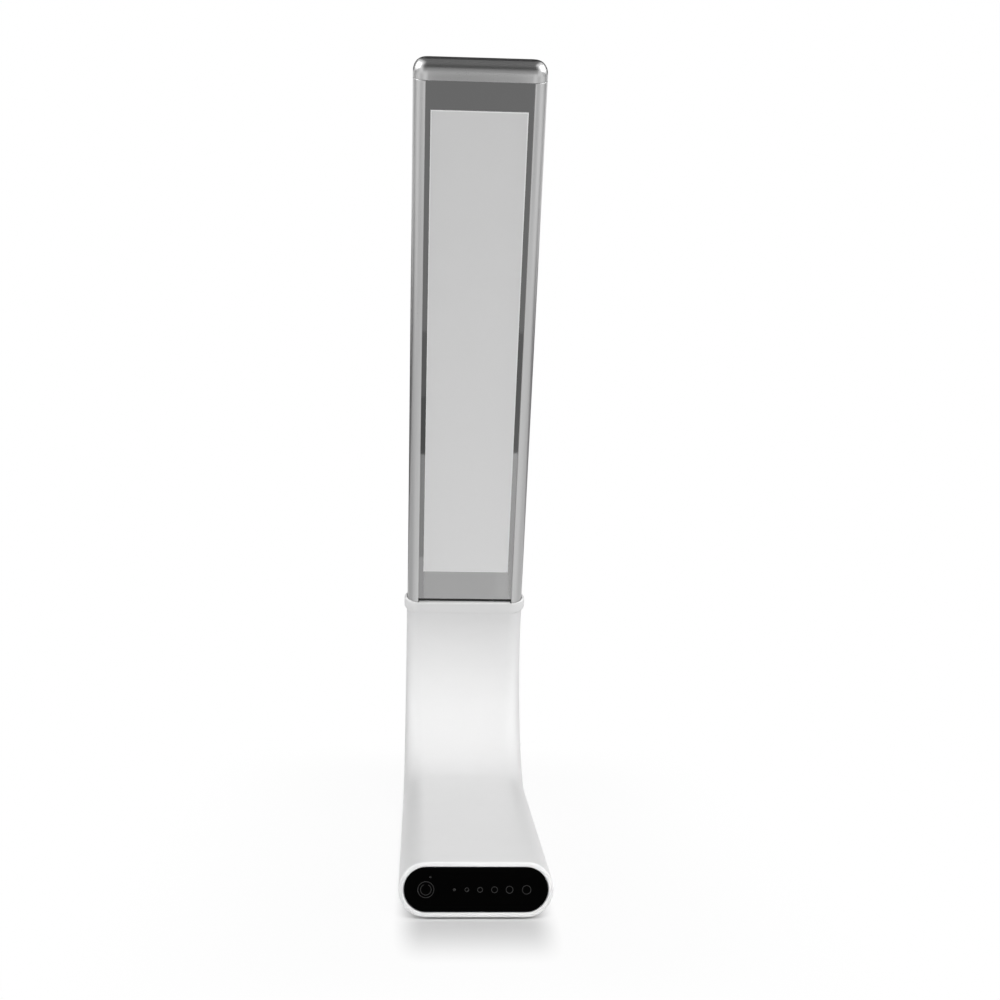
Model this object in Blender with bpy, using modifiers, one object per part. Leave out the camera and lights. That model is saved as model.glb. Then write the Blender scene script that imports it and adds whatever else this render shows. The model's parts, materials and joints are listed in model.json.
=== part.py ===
# Desk lamp: a flat light panel in an aluminium frame, on a bendable neck that grows out of a slim base.
# Metres, +Z up. The viewer stands at -Y and faces the touch panel.
import bmesh
import bpy
from math import acos, asin, cos, pi, radians, sin, sqrt
from mathutils import Matrix, Vector

MM = 0.001

# Clearances
GAP = 0.3 * MM
ROUND_STEPS = 12
SMALL_STEPS = 16
PIVOT_SIZE = 5.0 * MM

# Base
BASE_WIDTH = 60.0 * MM
BASE_HEIGHT = 21.6 * MM
BASE_FLAT = 160.0 * MM
SHELL_WALL = 3.0 * MM
RIM_ROUND = 0.8 * MM
SPIGOT_LENGTH = 7.0 * MM

# Touch panel and its board
TOUCH_RIM = 2.2 * MM
TOUCH_THICKNESS = 1.6 * MM
TOUCH_SETBACK = 0.3 * MM
TOUCH_BOARD_THICKNESS = 1.0 * MM
TOUCH_BOARD_CLEARANCE = 0.5 * MM
LED_SIZE = 1.6 * MM
LED_HEIGHT = 0.6 * MM
LED_X = -17.5 * MM
LED_RISE = 4.9 * MM

# Underside
PLATE_FRONT = 20.0 * MM
PLATE_REAR = 22.0 * MM
PLATE_MARGIN = 1.5 * MM
PLATE_THICKNESS = 1.5 * MM
PLATE_CORNER = 4.0 * MM
PLATE_SCREW_INSET = 5.0 * MM
HATCH_FRAME = 5.0 * MM
HATCH_END = 10.0 * MM
FOOT_RADIUS = 4.5 * MM
FOOT_PROUD = 0.8 * MM
FOOT_SINK = 0.8 * MM
FOOT_FRONT = 10.0 * MM
FOOT_REAR = 6.0 * MM

# Weight, battery and main board
BALLAST_THICKNESS = 5.0 * MM
BALLAST_END_CLEARANCE = 5.0 * MM
BATTERY_HEADROOM = 1.0 * MM
BATTERY_CLEARANCE = 4.0 * MM
BATTERY_ROUND = 2.0 * MM
BOARD_START = 8.0 * MM
BOARD_LENGTH = 50.0 * MM
BOARD_MARGIN = 7.0 * MM
BOARD_THICKNESS = 1.6 * MM
BOARD_BOSS_EDGE = 7.0 * MM
BOARD_BOSS_INSET = 4.0 * MM
COIL_RADIUS = 5.0 * MM
COIL_BORE = 2.0 * MM
COIL_HEADROOM = 2.6 * MM
CAPACITOR_RADIUS = 2.5 * MM
CAPACITOR_HEADROOM = 1.6 * MM
CONNECTOR_LENGTH = 5.0 * MM
CONNECTOR_HEIGHT = 2.0 * MM
CONNECTOR_MARGIN = 0.7 * MM

# Charging socket in the right-hand wall
SOCKET_WIDTH = 9.0 * MM
SOCKET_HEIGHT = 3.2 * MM
SOCKET_DEPTH = 8.0 * MM
SOCKET_WALL = 0.4 * MM
SOCKET_FLOOR = 1.5 * MM
SOCKET_SETBACK = 1.0 * MM
SOCKET_Y = 30.0 * MM

# Screws: shank radius, head radius and head height for each family
SMALL_SHANK = 1.0 * MM
SMALL_HEAD = 1.8 * MM
SMALL_HEAD_HEIGHT = 1.2 * MM
SMALL_LENGTH = 6.0 * MM
SINK_HEAD = 2.0 * MM
SINK_DEPTH = 1.0 * MM
SINK_RECESS = 0.1 * MM
STOUT_SHANK = 1.5 * MM
STOUT_HEAD = 2.8 * MM
STOUT_HEAD_HEIGHT = 1.6 * MM
STOUT_LENGTH = 7.5 * MM
BOSS_WALL = 1.5 * MM
BOSS_ROOT = 1.0 * MM

# Neck
BEND_RADIUS = 60.0 * MM
LEAN = radians(26.5)
NECK_DEPTH = 14.6 * MM
SLEEVE_WALL = 1.6 * MM
SLEEVE_LEAD = 8.0 * MM
SLEEVE_TAIL = 3.5 * MM
SLEEVE_RINGS = 22
HINGE_COUNT = 4
KNUCKLE_RADIUS = 3.5 * MM
KNUCKLE_CLEARANCE = 0.8 * MM
LINK_INSET = 17.0 * MM
LINK_THICKNESS = 4.0 * MM
LINK_ROOT = 2.0 * MM
TONGUE_WIDTH = 12.0 * MM
WASHER_THICKNESS = 0.8 * MM
WASHER_RADIUS = 3.3 * MM
PIN_RADIUS = 1.5 * MM
PIN_HEAD_RADIUS = 2.5 * MM
PIN_HEAD_HEIGHT = 1.2 * MM
BRACKET_REACH = 25.0 * MM
BRACKET_SCREW_EDGE = 4.5 * MM
BRACKET_SCREW_INSET = 10.0 * MM
RIBBON_WIDTH = 5.0 * MM
RIBBON_THICKNESS = 0.5 * MM
RIBBON_CLEARANCE = 1.0 * MM
RIBBON_RAMP = 30.0 * MM
RIBBON_STEP = 5.0 * MM

# Collar
COLLAR_HEIGHT = 5.8 * MM
COLLAR_WALL = 1.5 * MM
COLLAR_ROUND = 1.4 * MM
COLLAR_POCKET = 2.0 * MM
COLLAR_FLOOR = 1.4 * MM
COLLAR_SPIGOT_INSET = 8.5 * MM
COLLAR_SPIGOT_LENGTH = 3.6 * MM
COLLAR_SPIGOT_ROUND = 2.0 * MM
TONGUE_SLIT = 0.5 * MM

# Head frame
HEAD_STEP = 0.2 * MM
HEAD_DEPTH = 14.0 * MM
HEAD_LENGTH = 285.0 * MM
CAP_LENGTH = 8.2 * MM
CAP_ROUND = 5.5 * MM
CAP_PLUG_LENGTH = 6.0 * MM
CAP_PLUG_WIDTH = 40.0 * MM
FRAME_WALL = 1.3 * MM
LIP_THICKNESS = 1.8 * MM
LIP_OVERHANG = 1.4 * MM
LEDGE_THICKNESS = 1.5 * MM
LEDGE_OVERHANG = 4.0 * MM
PORT_RADIUS = 2.6 * MM
PORT_INSET = 4.6 * MM
PORT_Y = 2.4 * MM

# Light panel
RAIL_WIDTH = 4.3 * MM
GLASS_THICKNESS = 1.2 * MM
GLASS_END_GAP = 1.1 * MM
MIRROR_BORDER = 3.8 * MM
FILM_THICKNESS = 0.3 * MM
FILM_BOTTOM = 16.9 * MM
FILM_TOP = 13.4 * MM
SPREADER_MARGIN = 0.5 * MM
SPREADER_THICKNESS = 0.6 * MM
SPREADER_BOTTOM = 13.0 * MM
SPREADER_TOP = 9.0 * MM
DRIVER_BOARD_LENGTH = 40.0 * MM
DRIVER_BOARD_BOTTOM = 15.0 * MM
BLOCK_LENGTH = 15.0 * MM
BLOCK_SINK = 0.8 * MM
BLOCK_SCREW_EDGE = 6.0 * MM
BLOCK_SCREW_RISE = 9.0 * MM

# Places worked out from the sizes above
MID_HEIGHT = BASE_HEIGHT / 2
FLAT_WIDTH = BASE_WIDTH - BASE_HEIGHT
SEAM_Y = BASE_FLAT - SLEEVE_LEAD
ROOF = BASE_HEIGHT - SHELL_WALL
PANEL_SEAT = TOUCH_SETBACK + TOUCH_THICKNESS + GAP
PLATE_END = SEAM_Y - PLATE_REAR
PLATE_LENGTH = PLATE_END - PLATE_FRONT
PLATE_WIDTH = FLAT_WIDTH - 2 * PLATE_MARGIN
PLATE_CENTRE = (PLATE_FRONT + PLATE_END) / 2
PLATE_RECESS = PLATE_THICKNESS + GAP
PLATE_SCREW_X = PLATE_WIDTH / 2 - PLATE_SCREW_INSET
PLATE_SCREWS = [(side * PLATE_SCREW_X, y) for side in (-1, 1)
                for y in (PLATE_FRONT + PLATE_SCREW_INSET, PLATE_END - PLATE_SCREW_INSET)]
FOOT_X = FLAT_WIDTH / 2 - FOOT_RADIUS - PLATE_MARGIN
FEET = [(side * FOOT_X, y) for side in (-1, 1) for y in (FOOT_FRONT, SEAM_Y - FOOT_REAR)]
SMALL_HOLE = SMALL_SHANK + GAP
STOUT_HOLE = STOUT_SHANK + GAP
BALLAST_BOTTOM = SHELL_WALL + GAP
BALLAST_TOP = BALLAST_BOTTOM + BALLAST_THICKNESS
BALLAST_START = PLATE_FRONT + PLATE_SCREW_INSET + BALLAST_END_CLEARANCE
BALLAST_LENGTH = PLATE_LENGTH - 2 * (PLATE_SCREW_INSET + BALLAST_END_CLEARANCE)
BOARD_BOTTOM = BALLAST_TOP + SMALL_HEAD_HEIGHT + 2 * GAP
BOARD_TOP = BOARD_BOTTOM + BOARD_THICKNESS
BOARD_END = BOARD_START + BOARD_LENGTH
BOARD_WIDTH = BASE_WIDTH - 2 * BOARD_MARGIN
BOARD_BOSS_X = BOARD_WIDTH / 2 - BOARD_BOSS_EDGE
BOARD_BOSSES = [(BOARD_BOSS_X, BOARD_START + BOARD_BOSS_INSET), (-BOARD_BOSS_X, BOARD_END - BOARD_BOSS_INSET)]
SOCKET_BOTTOM = BOARD_TOP + GAP
SOCKET_Z = SOCKET_BOTTOM + SOCKET_HEIGHT / 2
SOCKET_FACE = (FLAT_WIDTH / 2 + sqrt(MID_HEIGHT ** 2 - (SOCKET_Z - MID_HEIGHT) ** 2)) - SOCKET_SETBACK

BEND_ANGLE = pi / 2 + LEAN
BEND_LENGTH = BEND_RADIUS * BEND_ANGLE
HINGE_STEP = BEND_ANGLE / HINGE_COUNT
HINGE_TURNS = [HINGE_STEP * (index + 0.5) for index in range(HINGE_COUNT)]
HINGE_RISE = BEND_RADIUS * (1 - cos(HINGE_STEP / 2))
HINGE_DROP = BEND_RADIUS * sin(HINGE_STEP / 2)
LINK_LENGTH = 2 * BEND_RADIUS * sin(HINGE_STEP / 2)
LINK_WIDTH = BASE_WIDTH - 2 * LINK_INSET
EAR_INNER = TONGUE_WIDTH / 2 + WASHER_THICKNESS + 2 * GAP
PLATE_STANDOFF = KNUCKLE_RADIUS + KNUCKLE_CLEARANCE
PIN_END = LINK_WIDTH / 2 + GAP
BRACKET_Z = MID_HEIGHT + HINGE_RISE
BRACKET_START = SEAM_Y - BRACKET_REACH
BRACKET_TOP = BRACKET_Z + LINK_THICKNESS / 2
BRACKET_SCREW_X = LINK_WIDTH / 2 - BRACKET_SCREW_EDGE
BRACKET_SCREWS = [(side * BRACKET_SCREW_X, BRACKET_START + BRACKET_SCREW_INSET) for side in (-1, 1)]
RIBBON_X = PIN_END + PIN_HEAD_HEIGHT + RIBBON_CLEARANCE + RIBBON_WIDTH / 2

HEAD_WIDTH = BASE_WIDTH - 2 * HEAD_STEP
GLASS_WIDTH = HEAD_WIDTH - 2 * RAIL_WIDTH
FILM_WIDTH = GLASS_WIDTH - 2 * MIRROR_BORDER
PORT_X = HEAD_WIDTH / 2 - PORT_INSET
COLLAR_SPIGOT_WIDTH = BASE_WIDTH - 2 * COLLAR_SPIGOT_INSET
COLLAR_BOTTOM = SLEEVE_TAIL + GAP
COLLAR_TOP = COLLAR_BOTTOM + COLLAR_HEIGHT
COLLAR_WIDTH = HEAD_WIDTH + 2 * COLLAR_WALL
COLLAR_DEPTH = HEAD_DEPTH + 2 * COLLAR_WALL
POCKET_FLOOR = COLLAR_TOP - COLLAR_POCKET
COLLAR_SEAT = POCKET_FLOOR - COLLAR_FLOOR
FRAME_BOTTOM = POCKET_FLOOR + GAP
CAP_BOTTOM = HEAD_LENGTH - CAP_LENGTH
FRAME_TOP = CAP_BOTTOM - GAP
HEAD_ROUND = HEAD_DEPTH / 2
CAVITY_ROUND = HEAD_ROUND - FRAME_WALL
HEAD_FLAT = HEAD_WIDTH / 2 - HEAD_ROUND
SLOT_FRONT = HEAD_ROUND - LIP_THICKNESS
SLOT_BACK = SLOT_FRONT - GLASS_THICKNESS - 2 * GAP
SLOT_X = GLASS_WIDTH / 2 + GAP
LIP_X = GLASS_WIDTH / 2 - LIP_OVERHANG
LEDGE_X = GLASS_WIDTH / 2 - LEDGE_OVERHANG
LEDGE_BACK = SLOT_BACK - LEDGE_THICKNESS
GLASS_FRONT = SLOT_FRONT - GAP
GLASS_BACK = SLOT_BACK + GAP
GLASS_BOTTOM = COLLAR_TOP + GLASS_END_GAP
GLASS_TOP = FRAME_TOP - GAP
SPREADER_FRONT = GLASS_BACK - GAP
SPREADER_BACK = SPREADER_FRONT - SPREADER_THICKNESS
DRIVER_FRONT = SPREADER_BACK - GAP
DRIVER_BACK = DRIVER_FRONT - BOARD_THICKNESS
DRIVER_BOTTOM = COLLAR_TOP + DRIVER_BOARD_BOTTOM
BLOCK_FRONT = LEDGE_BACK - GAP
BLOCK_BACK = CAVITY_ROUND - GAP
BLOCK_BOTTOM = POCKET_FLOOR - BLOCK_SINK
BLOCK_TOP = BLOCK_BOTTOM + BLOCK_LENGTH
BLOCK_SCREW_X = LINK_WIDTH / 2 - BLOCK_SCREW_EDGE
BLOCK_SCREW_Z = BLOCK_BOTTOM + BLOCK_SCREW_RISE


# Scene and materials
for old in list(bpy.data.objects):
    bpy.data.objects.remove(old)

parts = bpy.data.collections.new("desk_lamp")
cutters = bpy.data.collections.new("cutters")
for collection in (parts, cutters):
    bpy.context.scene.collection.children.link(collection)


def material(name, colour, roughness, metallic=0.0):
    made = bpy.data.materials.new(name)
    made.use_nodes = True
    shader = made.node_tree.nodes["Principled BSDF"]
    shader.inputs["Base Color"].default_value = (*colour, 1.0)
    shader.inputs["Roughness"].default_value = roughness
    shader.inputs["Metallic"].default_value = metallic
    made.diffuse_color = (*colour, 1.0)
    return made


white_plastic = material("white_plastic", (0.84, 0.84, 0.84), 0.45)
white_silicone = material("white_silicone", (0.84, 0.84, 0.84), 0.55)
white_steel = material("white_steel", (0.80, 0.80, 0.80), 0.40)
black_acrylic = material("black_acrylic", (0.004, 0.004, 0.004), 0.08)
satin_aluminium = material("satin_aluminium", (0.60, 0.60, 0.60), 0.35, 1.0)
mirror_glass = material("mirror_glass", (0.30, 0.30, 0.30), 0.06, 1.0)
pale_film = material("pale_film", (0.62, 0.62, 0.62), 0.40)
bare_steel = material("bare_steel", (0.50, 0.50, 0.51), 0.35, 1.0)
cast_zinc = material("cast_zinc", (0.42, 0.42, 0.43), 0.45, 1.0)
bronze = material("bronze", (0.52, 0.36, 0.20), 0.40, 1.0)
grey_rubber = material("grey_rubber", (0.20, 0.20, 0.20), 0.85)
green_board = material("green_board", (0.02, 0.16, 0.07), 0.50)
black_plastic = material("black_plastic", (0.02, 0.02, 0.02), 0.45)
cream_plastic = material("cream_plastic", (0.78, 0.74, 0.64), 0.50)
foil = material("foil", (0.55, 0.57, 0.60), 0.30, 1.0)
clear_resin = material("clear_resin", (0.85, 0.80, 0.55), 0.20)


# Outlines
def arc(centre, radius, start, end, steps):
    return [(centre[0] + radius * cos(start + (end - start) * step / steps),
             centre[1] + radius * sin(start + (end - start) * step / steps)) for step in range(steps + 1)]


def stadium(width, height, steps=ROUND_STEPS):
    radius = height / 2
    flat = width / 2 - radius
    return (arc((flat, 0.0), radius, -pi / 2, pi / 2, steps)
            + arc((-flat, 0.0), radius, pi / 2, 1.5 * pi, steps))


def rounded_rectangle(width, height, corner, steps=4):
    outline = []
    for index, (side_x, side_y) in enumerate(((1, -1), (1, 1), (-1, 1), (-1, -1))):
        centre = (side_x * (width / 2 - corner), side_y * (height / 2 - corner))
        start = (index - 1) * pi / 2
        outline += arc(centre, corner, start, start + pi / 2, steps)
    return outline


def circle(radius, steps=SMALL_STEPS):
    return arc((0.0, 0.0), radius, 0.0, 2 * pi, steps)[:-1]


# Meshes
def cleaned(mesh):
    shape = bmesh.new()
    shape.from_mesh(mesh)
    bmesh.ops.remove_doubles(shape, verts=shape.verts, dist=0.001 * MM)
    bmesh.ops.recalc_face_normals(shape, faces=shape.faces)
    shape.to_mesh(mesh)
    shape.free()
    return mesh


def evaluated_mesh(source):
    bpy.context.scene.collection.objects.link(source)
    bpy.context.view_layer.update()
    graph = bpy.context.evaluated_depsgraph_get()
    mesh = bpy.data.meshes.new_from_object(source.evaluated_get(graph))
    bpy.data.objects.remove(source)
    return cleaned(mesh)


def plate(outlines, bottom, top):
    # Closed outlines in the XY plane, filled and drawn out from bottom to top along Z.
    curve = bpy.data.curves.new("outline", "CURVE")
    curve.dimensions = "2D"
    curve.fill_mode = "BOTH"
    curve.extrude = (top - bottom) / 2
    for outline in outlines:
        spline = curve.splines.new("POLY")
        spline.points.add(len(outline) - 1)
        for point, (x, y) in zip(spline.points, outline):
            point.co = (x, y, 0.0, 1.0)
        spline.use_cyclic_u = True
    mesh = evaluated_mesh(bpy.data.objects.new("outline", curve))
    mesh.transform(Matrix.Translation((0.0, 0.0, (top + bottom) / 2)))
    return mesh


def drawn_along_y(outlines, start, end):
    # Outlines in the XZ plane, drawn out along Y.
    mesh = plate(outlines, -end, -start)
    mesh.transform(Matrix.Rotation(pi / 2, 4, "X"))
    return mesh


def drawn_along_x(outlines, start, end):
    # Outlines in the YZ plane, drawn out along X.
    mesh = plate(outlines, start, end)
    mesh.transform(Matrix.Rotation(pi / 2, 4, "Z") @ Matrix.Rotation(pi / 2, 4, "X"))
    return mesh


def box(low, high):
    size = Vector(high) - Vector(low)
    centre = (Vector(high) + Vector(low)) / 2
    mesh = bpy.data.meshes.new("box")
    shape = bmesh.new()
    bmesh.ops.create_cube(shape, size=1.0, matrix=Matrix.Translation(centre) @ Matrix.Diagonal((*size, 1.0)))
    shape.to_mesh(mesh)
    shape.free()
    return mesh


def post(radius, bottom, top, top_radius=None, steps=SMALL_STEPS):
    # A cylinder or cone on the Z axis.
    mesh = bpy.data.meshes.new("post")
    shape = bmesh.new()
    bmesh.ops.create_cone(shape, cap_ends=True, segments=steps, radius1=radius,
                          radius2=radius if top_radius is None else top_radius, depth=top - bottom,
                          matrix=Matrix.Translation((0.0, 0.0, (top + bottom) / 2)))
    shape.to_mesh(mesh)
    shape.free()
    return mesh


def turned(profile):
    # A profile of radius and height, listed from top to bottom, turned about Z.
    mesh = bpy.data.meshes.new("profile")
    edges = [(index, index + 1) for index in range(len(profile) - 1)]
    mesh.from_pydata([(radius, 0.0, height) for radius, height in profile], edges, [])
    source = bpy.data.objects.new("profile", mesh)
    screw = source.modifiers.new("turn", "SCREW")
    screw.axis = "Z"
    screw.steps = SMALL_STEPS
    screw.render_steps = SMALL_STEPS
    screw.use_merge_vertices = True
    screw.merge_threshold = 0.01 * MM
    return evaluated_mesh(source)


def group(mesh, places):
    # Copies of one mesh at several places, as separate solids.
    joined = bmesh.new()
    for place in places:
        copy = mesh.copy()
        copy.transform(Matrix.Translation(place))
        joined.from_mesh(copy)
        bpy.data.meshes.remove(copy)
    result = bpy.data.meshes.new("group")
    joined.to_mesh(result)
    joined.free()
    return result


def joined(meshes):
    # Several meshes that keep apart, as one.
    shape = bmesh.new()
    for mesh in meshes:
        shape.from_mesh(mesh)
    result = bpy.data.meshes.new("joined")
    shape.to_mesh(result)
    shape.free()
    return result


def rounded_edges(mesh, width, segments, chosen):
    # Rounds the edges that the chosen test picks, once each flat face is one polygon.
    shape = bmesh.new()
    shape.from_mesh(mesh)
    bmesh.ops.dissolve_limit(shape, angle_limit=radians(1.0), verts=shape.verts, edges=shape.edges)
    edges = [edge for edge in shape.edges if chosen(edge)]
    bmesh.ops.bevel(shape, geom=edges, offset=width, segments=segments, profile=0.5, affect="EDGES",
                    clamp_overlap=True)
    shape.to_mesh(mesh)
    shape.free()
    return mesh


def in_plane(axis, value):
    return lambda edge: all(abs(vertex.co[axis] - value) < 0.001 * MM for vertex in edge.verts)


# Objects
def pivot(name, location, turn=0.0, parent=None):
    empty = bpy.data.objects.new(name, None)
    empty.location = location
    empty.rotation_euler = (turn, 0.0, 0.0)
    empty.empty_display_size = PIVOT_SIZE
    empty.parent = parent
    parts.objects.link(empty)
    return empty


def part(name, mesh, look, parent, location=(0.0, 0.0, 0.0)):
    made = bpy.data.objects.new(name, mesh)
    mesh.name = name
    mesh.materials.clear()
    mesh.materials.append(look)
    made.parent = parent
    made.location = location
    parts.objects.link(made)
    mesh.shade_smooth()
    mesh.set_sharp_from_angle(angle=radians(30.0))
    return made


def parts_like(name, mesh, look, parent, places):
    # One object for each copy, all sharing a mesh.
    for number, place in enumerate(places, 1):
        part("%s_%d" % (name, number), mesh, look, parent, place)


def combine(target, mesh, operation):
    # Adds a shape to a part or takes it away.
    tool = bpy.data.objects.new(target.name + "_" + operation.lower(), mesh)
    tool.parent = target.parent
    tool.location = target.location
    tool.hide_render = True
    tool.display_type = "WIRE"
    cutters.objects.link(tool)
    modifier = target.modifiers.new(tool.name, "BOOLEAN")
    modifier.operation = operation
    modifier.solver = "EXACT"
    modifier.object = tool


def add(target, mesh):
    combine(target, mesh, "UNION")


def cut(target, mesh):
    combine(target, mesh, "DIFFERENCE")


# The neck's mid-line: flat out of the base, round the bend, then straight up the head
def along(turn):
    return Vector((0.0, cos(turn), sin(turn)))


def inward(turn):
    return Vector((0.0, -sin(turn), cos(turn)))


def neck_station(distance):
    turn = min(max(distance / BEND_RADIUS, 0.0), BEND_ANGLE)
    bend_centre = Vector((0.0, BASE_FLAT, MID_HEIGHT + BEND_RADIUS))
    straight = distance - turn * BEND_RADIUS
    return bend_centre - BEND_RADIUS * inward(turn) + straight * along(turn), turn


def neck_section(distance):
    share = min(max(distance / BEND_LENGTH, 0.0), 1.0)
    ease = share * share * (3.0 - 2.0 * share)
    return BASE_WIDTH, BASE_HEIGHT + (NECK_DEPTH - BASE_HEIGHT) * ease


def rearmost():
    stations = [BEND_LENGTH * step / 400 for step in range(401)]
    return max((neck_station(d)[0] - inward(d / BEND_RADIUS) * neck_section(d)[1] / 2).y for d in stations)


# Frames: the base, one pivot for each hinge, and the head above the last hinge
lamp = pivot("lamp_frame", (0.0, -rearmost() / 2, FOOT_PROUD))
hinge_places = [neck_station(BEND_RADIUS * turn)[0] for turn in HINGE_TURNS]
link_turns = [HINGE_STEP * (index + 1) - pi / 2 for index in range(HINGE_COUNT)]
pivots = [pivot("hinge_%d" % (index + 1), hinge_places[index], link_turns[index], lamp)
          for index in range(HINGE_COUNT)]
pivots[-1].rotation_euler.x = LEAN
HEAD_ORIGIN = (0.0, HINGE_RISE, HINGE_DROP)


# Screws
def pan_screw(shank, head, head_height, length):
    # Head below z = 0, shank above it.
    return turned([(0.0, length), (shank, length), (shank, 0.0), (head, 0.0), (head, -head_height),
                   (0.0, -head_height)])


def sunk_screw(length):
    return turned([(0.0, length), (SMALL_SHANK, length), (SMALL_SHANK, SINK_DEPTH), (SINK_HEAD, 0.0),
                   (0.0, 0.0)])


def sink_hole(depth):
    # A countersunk hole that opens downwards at z = 0.
    flare = SINK_HEAD + GAP
    slope = (SINK_HEAD - SMALL_SHANK) / SINK_DEPTH
    return turned([(0.0, depth), (SMALL_HOLE, depth), (SMALL_HOLE, SINK_DEPTH), (flare, 0.0),
                   (flare + slope * GAP, -GAP), (0.0, -GAP)])


# Base shell
def make_base_shell():
    tube = drawn_along_y([stadium(BASE_WIDTH, BASE_HEIGHT)], 0.0, SEAM_Y)
    rounded_edges(tube, RIM_ROUND, 3, in_plane(1, 0.0))
    tube.transform(Matrix.Translation((0.0, 0.0, MID_HEIGHT)))
    shell = part("base_shell", tube, white_plastic, lamp)

    inset = 2 * (SLEEVE_WALL + GAP)
    spigot = drawn_along_y([stadium(BASE_WIDTH - inset, BASE_HEIGHT - inset)],
                           SEAM_Y - SHELL_WALL, SEAM_Y + SPIGOT_LENGTH)
    spigot.transform(Matrix.Translation((0.0, 0.0, MID_HEIGHT)))
    add(shell, spigot)

    inset = 2 * SHELL_WALL
    cavity = drawn_along_y([stadium(BASE_WIDTH - inset, BASE_HEIGHT - inset)],
                           PANEL_SEAT / 2, SEAM_Y + 2 * SPIGOT_LENGTH)
    cavity.transform(Matrix.Translation((0.0, 0.0, MID_HEIGHT)))
    cut(shell, cavity)

    inset = 2 * (TOUCH_RIM - GAP)
    seat = drawn_along_y([stadium(BASE_WIDTH - inset, BASE_HEIGHT - inset)], -SHELL_WALL, PANEL_SEAT)
    seat.transform(Matrix.Translation((0.0, 0.0, MID_HEIGHT)))
    cut(shell, seat)

    board_post = post(SMALL_HOLE + BOSS_WALL, BOARD_TOP + GAP, ROOF + BOSS_ROOT)
    bracket_post = post(STOUT_HOLE + BOSS_WALL, BRACKET_TOP + GAP, ROOF + BOSS_ROOT)
    floor_post = post(SMALL_HOLE + BOSS_WALL, SHELL_WALL - BOSS_ROOT, SMALL_LENGTH + BOSS_WALL)
    add(shell, joined([group(board_post, [(x, y, 0.0) for x, y in BOARD_BOSSES]),
                       group(bracket_post, [(x, y, 0.0) for x, y in BRACKET_SCREWS]),
                       group(floor_post, [(x, y, 0.0) for x, y in PLATE_SCREWS])]))

    board_hole = post(SMALL_HOLE, BOARD_BOTTOM, BOARD_BOTTOM + SMALL_LENGTH)
    bracket_hole = post(STOUT_HOLE, BRACKET_Z, BRACKET_Z - LINK_THICKNESS / 2 + STOUT_LENGTH)
    floor_hole = post(SMALL_HOLE, 0.0, SMALL_LENGTH + GAP)
    cut(shell, joined([group(board_hole, [(x, y, 0.0) for x, y in BOARD_BOSSES]),
                       group(bracket_hole, [(x, y, 0.0) for x, y in BRACKET_SCREWS]),
                       group(floor_hole, [(x, y, 0.0) for x, y in PLATE_SCREWS])]))

    recess = plate([rounded_rectangle(PLATE_WIDTH + 2 * GAP, PLATE_LENGTH + 2 * GAP, PLATE_CORNER)],
                   -PLATE_RECESS, PLATE_RECESS)
    recess.transform(Matrix.Translation((0.0, PLATE_CENTRE, 0.0)))
    foot_well = post(FOOT_RADIUS + GAP, -FOOT_SINK, FOOT_SINK, steps=2 * ROUND_STEPS)
    cut(shell, joined([recess, group(foot_well, [(x, y, 0.0) for x, y in FEET])]))

    hatch_width = PLATE_WIDTH - 2 * HATCH_FRAME
    hatch_length = PLATE_LENGTH - 2 * HATCH_END
    hatch = plate([rounded_rectangle(hatch_width, hatch_length, PLATE_CORNER)],
                  PLATE_RECESS / 2, 2 * SHELL_WALL)
    hatch.transform(Matrix.Translation((0.0, PLATE_CENTRE, 0.0)))
    window = drawn_along_x([stadium(SOCKET_WIDTH + 2 * GAP, SOCKET_HEIGHT + 2 * GAP, ROUND_STEPS // 2)],
                           SOCKET_FACE - SHELL_WALL - SOCKET_SETBACK, BASE_WIDTH)
    window.transform(Matrix.Translation((0.0, SOCKET_Y, SOCKET_Z)))
    cut(shell, joined([hatch, window]))


def make_underside():
    sheet = plate([rounded_rectangle(PLATE_WIDTH, PLATE_LENGTH, PLATE_CORNER)], 0.0, PLATE_THICKNESS)
    sheet.transform(Matrix.Translation((0.0, PLATE_CENTRE, 0.0)))
    bottom = part("bottom_plate", sheet, white_steel, lamp)
    cut(bottom, group(sink_hole(2 * PLATE_THICKNESS), [(x, y, SINK_RECESS) for x, y in PLATE_SCREWS]))
    parts_like("bottom_screw", sunk_screw(SMALL_LENGTH - GAP), bare_steel, lamp,
               [(x, y, SINK_RECESS) for x, y in PLATE_SCREWS])
    pad = post(FOOT_RADIUS, -FOOT_PROUD, FOOT_SINK - GAP, steps=2 * ROUND_STEPS)
    parts_like("rubber_foot", pad, grey_rubber, lamp, [(x, y, 0.0) for x, y in FEET])


# Touch panel, its board and the status lamp between them
def make_touch_panel():
    inset = 2 * TOUCH_RIM
    face = drawn_along_y([stadium(BASE_WIDTH - inset, BASE_HEIGHT - inset)], 0.0, TOUCH_THICKNESS)
    part("touch_panel", face, black_acrylic, lamp, (0.0, TOUCH_SETBACK, MID_HEIGHT))

    inset = 2 * (SHELL_WALL + TOUCH_BOARD_CLEARANCE)
    board_front = PANEL_SEAT + LED_HEIGHT + GAP
    board = drawn_along_y([stadium(BASE_WIDTH - inset, BASE_HEIGHT - inset)], 0.0, TOUCH_BOARD_THICKNESS)
    part("touch_board", board, green_board, lamp, (0.0, board_front, MID_HEIGHT))

    led = box((-LED_SIZE / 2, 0.0, -LED_SIZE / 4), (LED_SIZE / 2, LED_HEIGHT, LED_SIZE / 4))
    part("status_led", led, clear_resin, lamp, (LED_X, PANEL_SEAT, MID_HEIGHT + LED_RISE))


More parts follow.
